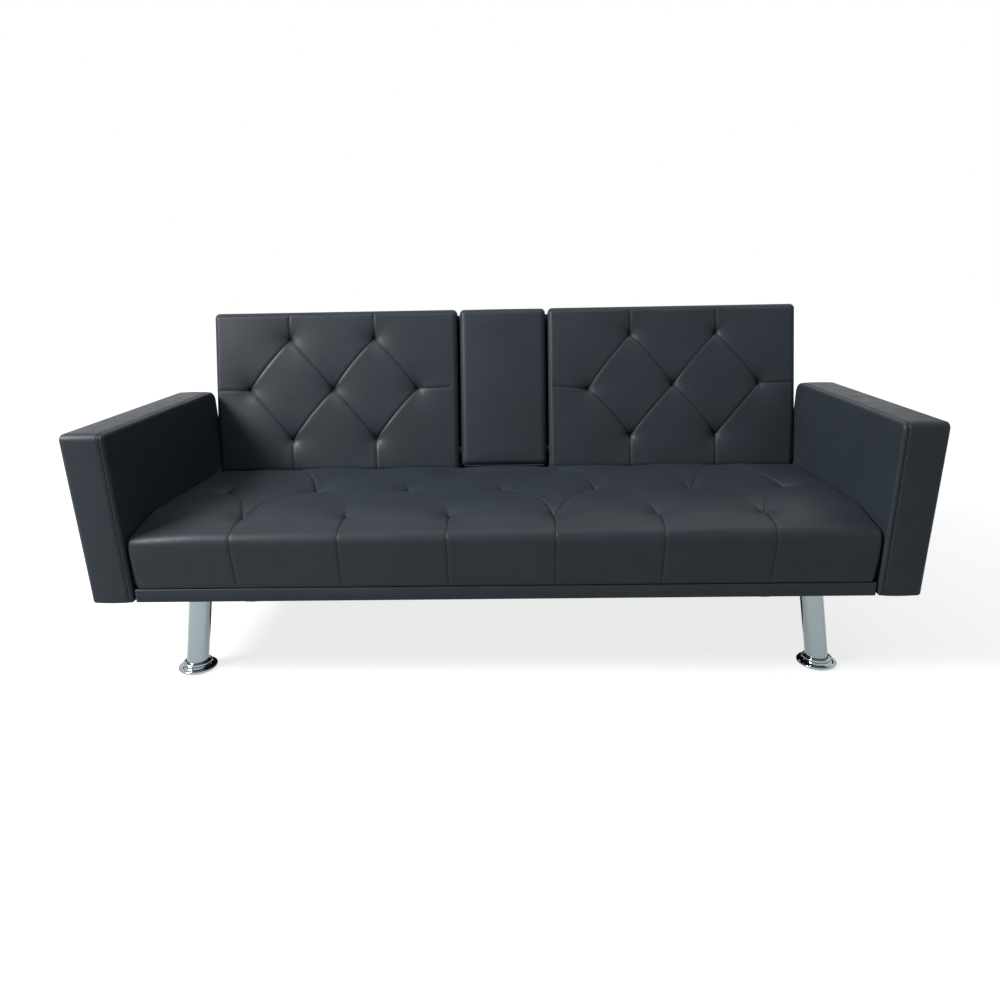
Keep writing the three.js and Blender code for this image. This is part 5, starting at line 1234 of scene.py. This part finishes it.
cover_straight = BACK_HALF - COVER_END
cover_mesh = padded_mesh(
    "cover", cover_outline, cover_outline.stations([2, 20, 2, 6, 2.2, 8, 2.2, 6]),
    np.linspace(-cover_straight, cover_straight, 200), end_rings(COVER_END, 4, 0.6, 12.5, 2),
    cover_relief, still, lambda x, b, u: back_place(widened(x, u), b, u), cover_seam,
    box=((FRAME_FRONT, BACK_BOTTOM), (BACK_THICKNESS, BACK_HEIGHT)))
room_low, room_high, room_half = BACK_BOTTOM + COVER_SIDES, BACK_HEIGHT - COVER_SIDES, BACK_HALF - COVER_SIDES
room_front, room_rear = FRAME_FRONT - 5, BACK_THICKNESS - COVER_REAR
cover_mesh = hollowed(cover_mesh, slab(
    [(room_front, room_low), (room_front, room_high), (room_rear, room_high), (room_rear, room_low)],
    (-room_half, room_half), back_place))
upholster("back_rear_upholstery", cover_mesh, "backrest", "back_rear_cover")

# The recess panel: board wrapped in leather, cut in at its lower corners for the console's brackets.
PANEL_HALF, PANEL_WIDE, PANEL_THICKNESS, BRACKET_TOP = 114.1, 117.6, 4, 116
panel_front = CUSHION_REAR - PANEL_THICKNESS
panel_shape = [(-PANEL_HALF, BACK_BOTTOM), (PANEL_HALF, BACK_BOTTOM), (PANEL_HALF, BRACKET_TOP),
               (PANEL_WIDE, BRACKET_TOP), (PANEL_WIDE, BACK_HEIGHT - 1), (-PANEL_WIDE, BACK_HEIGHT - 1),
               (-PANEL_WIDE, BRACKET_TOP), (-PANEL_HALF, BRACKET_TOP)]
count = len(panel_shape)
panel_x, panel_u = (np.array(values) for values in zip(*panel_shape))
panel_places = np.concatenate([
    back_place(panel_x, np.full(count, b), panel_u) for b in (panel_front, CUSHION_REAR)]) * MM
panel = new_piece("back_recess_upholstery", panel_places, [
    list(range(count)), list(range(2 * count - 1, count - 1, -1)),
    *[[(k + 1) % count, k, count + k, count + (k + 1) % count] for k in range(count)]],
    leather, "backrest", "leather", "back_recess_panel")
panel.data.shade_flat()
panel.data.attributes.new("seam", "FLOAT", "POINT").data.foreach_set("value", [UNSEWN] * (2 * count))
eased = panel.modifiers.new("eased", "BEVEL")
eased.width, eased.segments, eased.harden_normals = 0.0012, 3, True


# ---------- Back cushions ----------
# Two foam pads under artificial leather, tufted in diamonds and fixed to the backrest's frame. The
# face of each is sewn to a narrow border round its edge.
BACK_TOP_RADIUS, BACK_BOTTOM_RADIUS, BACK_END_RADIUS = 14, 28, 11
BACK_PITCH, BACK_ROW, BACK_TUFT_RISE, BACK_REACH = 220, 208.5, 131.5, 2
BACK_CELLS = 32
EDGE_FILL, EDGE_FILL_REACH = 0.35, 50  # share of the pressure at the edges, and the way in to all of it
BORDER_TURN = 1 / 3  # of the way round the edge's rounding, where the face meets the border
BORDER_FAINT = 0.7  # the border's painted seam shade is drawn as if this much further off than the folds'
BACK_FAINT = 1.2  # and where folds let go, their painted seam shade is drawn as if this much further off
BORDER_SWELL, BORDER_DEPTH, BORDER_WIDTH = 0.8, 0.9, 1.8  # how far it swells, and its seam's depth and width
FACE_FADE, SLIDE_FADE = 8, 25  # over which the face's relief, and its slide, die away to the border
DROP_REACH = 60  # how far round it the low tuft draws the skin down
NOTCH_FRONT, NOTCH_TOP, NOTCH_CHAMFER, NOTCH_INNER = 5.5, 22, (4.5, 5), 724  # room for the hinge plates

pad_half = (BACK_HALF - CUSHION_INNER) / 2
pad_centre = (BACK_HALF + CUSHION_INNER) / 2
back_outline = Outline([
    (CUSHION_REAR, BACK_HEIGHT, 10), (0, BACK_HEIGHT, BACK_TOP_RADIUS), (0, BACK_BOTTOM, BACK_BOTTOM_RADIUS),
    (CUSHION_REAR, BACK_BOTTOM, 10)])
# Parts: rear top arc, top, top arc, face, bottom arc, bottom, rear bottom arc, rear.
face_start, face_end = back_outline.reached[2], back_outline.reached[3]
BACK_OFFSET = face_start + BACK_HEIGHT - BACK_TOP_RADIUS  # less the distance gives the rise up the slope
cell_u, cell_w = BACK_PITCH / 2 / BACK_CELLS, BACK_TUFT_RISE / BACK_CELLS
border_top = back_outline.reached[1] + (1 - BORDER_TURN) * BACK_TOP_RADIUS * math.pi / 2
border_bottom = face_end + BORDER_TURN * BACK_BOTTOM_RADIUS * math.pi / 2
border_side = pad_half - BACK_END_RADIUS + BORDER_TURN * BACK_END_RADIUS * math.pi / 2


def make_back_cushion(side, sign, seed, aside, inner_drop):
    """The tufts lie a little outwards of the pad's middle, and the innermost of them a little low."""
    tuft_centre = pad_centre + aside
    tufting = Tufting(tuft_centre, BACK_PITCH, BACK_ROW, BACK_TUFT_RISE, BACK_REACH, side=pad_half - aside,
                      front=BACK_BOTTOM - 20, rear=BACK_HEIGHT + 20, seed=seed, bow=4, front_bow=0,
                      hold=(0.5, 1.0))
    innermost = (tuft_centre - BACK_PITCH, BACK_ROW)
    columns = tuft_centre + cell_u * np.arange(-math.ceil(340 / cell_u), math.ceil(330 / cell_u) + 1)
    columns = columns[np.abs(columns - pad_centre) < pad_half + 8]
    rows = BACK_ROW + cell_w * np.arange(-math.ceil(250 / cell_w), math.ceil(220 / cell_w) + 1)

    def filled(room):
        return EDGE_FILL + (1 - EDGE_FILL) * soften(room, 0, EDGE_FILL_REACH)

    def calm(x, v):
        return filled(BACK_HEIGHT - v) * filled(v - BACK_BOTTOM) * filled(pad_half - np.abs(x - pad_centre))

    height = sampled(columns, rows, sewn_relief(
        tufting, columns, rows, pressure=0.0010, tuft_depth=12, cone=4.5, valley=2.2, grip=0.0002, calm=calm))

    def border(x, s):
        """Distance to the seam round the face."""
        ds = np.maximum(border_top - s, s - border_bottom)
        return from_border(np.abs(x - pad_centre) - border_side, ds)

    def inside(x, s):
        return (np.abs(x - pad_centre) <= border_side) & (s >= border_top) & (s <= border_bottom)

    def relief(x, s):
        face = np.where(inside(x, s), height(x, BACK_OFFSET - s), 0) * soften(border(x, s), 0, FACE_FADE)
        on_border = ~inside(x, s) & (s < border_bottom)
        side_swell = np.where(on_border, BORDER_SWELL * soften(border(x, s), 0, 12), 0)
        return face + side_swell - groove(border(x, s), BORDER_DEPTH, BORDER_WIDTH)

    def slide(x, s):
        move_x, move_v = tufting.slide(x, BACK_OFFSET - s)
        from_inner = np.hypot(x - innermost[0], BACK_OFFSET - s - innermost[1])
        move_v -= inner_drop * np.exp(-from_inner / DROP_REACH)
        share = np.where(inside(x, s), soften(border(x, s), 0, SLIDE_FADE), 0)
        return move_x * share, -move_v * share

    def seam(x, s):
        near = seam_shade_distance(tufting, x, BACK_OFFSET - s, BACK_FAINT)
        return np.minimum(np.where(inside(x, s), near, UNSEWN), border(x, s) + BORDER_FAINT)

    def folds(x, s):
        return np.where(inside(x, s), tufting.measure(x, BACK_OFFSET - s)[0], UNSEWN)

    crown = BACK_OFFSET - (BACK_ROW + cell_w * np.arange(-60, 61))
    crown = np.sort(crown[(crown > face_start + 1.5) & (crown < face_end - 1.5)])
    reached = back_outline.reached
    stations = np.concatenate([
        np.linspace(0, reached[0], 4)[:-1], np.linspace(reached[0], reached[1], 9)[:-1],
        np.linspace(reached[1], face_start, 7), crown, np.linspace(face_end, reached[4], 10),
        np.linspace(reached[4], reached[5], 7)[1:-1], np.linspace(reached[5], reached[6], 4),
        np.linspace(reached[6], reached[7], 24)[1:-1]])
    straight = pad_half - BACK_END_RADIUS
    across = columns[np.abs(columns - pad_centre) < straight - 1]
    across = np.concatenate([[pad_centre - straight], across, [pad_centre + straight]])
    mesh = padded_mesh(
        f"back_{side}", back_outline, stations, across,
        end_rings(BACK_END_RADIUS, 6, 1.5, 40, 7), relief, slide,
        lambda x, b, u: back_place(sign * widened(x, u), b, u), seam,
        box=((0, BACK_BOTTOM), (CUSHION_REAR, BACK_HEIGHT)), folds=folds)
    notch_rear, notch_low = CUSHION_REAR + 5, BACK_BOTTOM - 10
    notch = slab([(NOTCH_FRONT, notch_low), (notch_rear, notch_low), (notch_rear, NOTCH_TOP),
                  (NOTCH_FRONT + NOTCH_CHAMFER[0], NOTCH_TOP), (NOTCH_FRONT, NOTCH_TOP - NOTCH_CHAMFER[1])],
                 (NOTCH_INNER, BACK_HALF + 8), lambda x, b, u: back_place(sign * x, b, u))
    node_name = f"back_cushion_{side}"
    upholster(f"{node_name}_upholstery", hollowed(mesh, notch), "backrest", node_name)


make_back_cushion("left", -1, seed=21, aside=11, inner_drop=1)
make_back_cushion("right", 1, seed=34, aside=6, inner_drop=11)


# ---------- Console ----------
# The middle of the back is a timber block padded under the same leather. It turns on its own pins to
# fold down onto the seat, and its rear holds a moulded tray with two cup wells.
CONSOLE_HALF, CONSOLE_THICKNESS, CONSOLE_BOTTOM, CONSOLE_HEEL = 109, 75, 2, 45
CONSOLE_SWELL = 2.3  # the padded cover stands this far past each side
CONSOLE_WALL, CONSOLE_PAD, TRAY_HEEL, TRAY_THICKNESS = 8.5, 12, 50, 3.3
HEEL_MIDDLE = 0.29  # the middle of a rounded corner lies this share of its radius in from both sides
CONSOLE_PUFF, PUFF_REACH = 4.5, 50
CONSOLE_SEAM_DEPTH = 0.5

console_outline = Outline([
    (CONSOLE_THICKNESS, BACK_HEIGHT, 3), (0, BACK_HEIGHT, BACK_TOP_RADIUS),
    (0, CONSOLE_BOTTOM, BACK_TOP_RADIUS), (CONSOLE_THICKNESS, CONSOLE_BOTTOM, CONSOLE_HEEL)])
console_face = (console_outline.reached[1], console_outline.reached[4])


def console_border(x, s):
    """Distance to the seam round the face."""
    start = console_face[0] + (1 - BORDER_TURN) * BACK_TOP_RADIUS * math.pi / 2
    end = console_outline.reached[3] + BORDER_TURN * BACK_TOP_RADIUS * math.pi / 2
    dx = np.abs(x) - (CONSOLE_HALF - BACK_END_RADIUS + BORDER_TURN * BACK_END_RADIUS * math.pi / 2)
    return from_border(dx, np.maximum(start - s, s - end))


def console_relief(x, s):
    """A plain crown, which falls away at both ends."""
    width = np.clip(1 - (x / (CONSOLE_HALF - 3)) ** 2, 0, 1)
    start, end = console_face
    length = np.clip((s - start) / PUFF_REACH, 0, 1) * np.clip((end - s) / PUFF_REACH, 0, 1)
    crown = CONSOLE_PUFF * width ** 0.7 * np.sin(length * math.pi / 2)
    seam = groove(console_border(x, s), CONSOLE_SEAM_DEPTH, BORDER_WIDTH)
    return np.where((s > start) & (s < end), crown, 0) - seam


console_straight = CONSOLE_HALF - BACK_END_RADIUS
console_mesh = padded_mesh(
    "console", console_outline, console_outline.stations([2, 6, 3.67, 5, 3.67, 6, 5, 12]),
    np.linspace(-console_straight, console_straight, 40),
    end_rings(BACK_END_RADIUS, 6, 0.8, 36, 6), console_relief, still,
    lambda x, b, u: back_place(x * (1 + CONSOLE_SWELL / CONSOLE_HALF), b, u),
    lambda x, s: console_border(x, s) + BORDER_FAINT,
    box=((0, CONSOLE_BOTTOM), (CONSOLE_THICKNESS, BACK_HEIGHT)))
core_low, core_high = CONSOLE_BOTTOM + CONSOLE_WALL, BACK_HEIGHT - CONSOLE_WALL
core_rear = CONSOLE_THICKNESS - TRAY_THICKNESS
core_ends = (-CONSOLE_HALF + CONSOLE_WALL, CONSOLE_HALF - CONSOLE_WALL)
heel = CONSOLE_HEEL - CONSOLE_WALL
inset = HEEL_MIDDLE * heel
core_room = slab([
    (CONSOLE_PAD, core_low), (core_rear - heel, core_low), (core_rear - inset, core_low + inset),
    (core_rear, core_low + heel), (core_rear, core_high), (CONSOLE_PAD, core_high)], core_ends, back_place)
tray_room = slab([(core_rear - 5, TRAY_HEEL), (CONSOLE_THICKNESS + 5, TRAY_HEEL),
                  (CONSOLE_THICKNESS + 5, core_high), (core_rear - 5, core_high)], core_ends, back_place)
console_mesh = hollowed(console_mesh, core_room, tray_room)
upholster("console_upholstery", console_mesh, "console", "console_cushion")
dress(plastic_material("tray_plastic", (0.016, 0.016, 0.018), 0.38, 1100), "console_tray")


# ---------- Hinges and fixings ----------
# Pressed and zinc-plated steel: hinge plates with a curved slot and a stop pin, ratchet housings,
# pivot pins, the console's brackets and pins, and the bolts that hold the arms.
def fixings(*starts):
    """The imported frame's pieces whose names begin so."""
    return [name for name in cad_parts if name.startswith(starts)]


dress(screw_zinc, *fixings("hinge_", "arm_bolt_"))
# The console's fixings are zinc-plated too, coloured near-black as painted shade for the dark gap they sit
# in.
dress(zinc_material("zinc_with_painted_shade", (0.012, 0.012, 0.013), (0.03, 0.03, 0.03)),
      *fixings("console_bracket_", "console_pin_"))
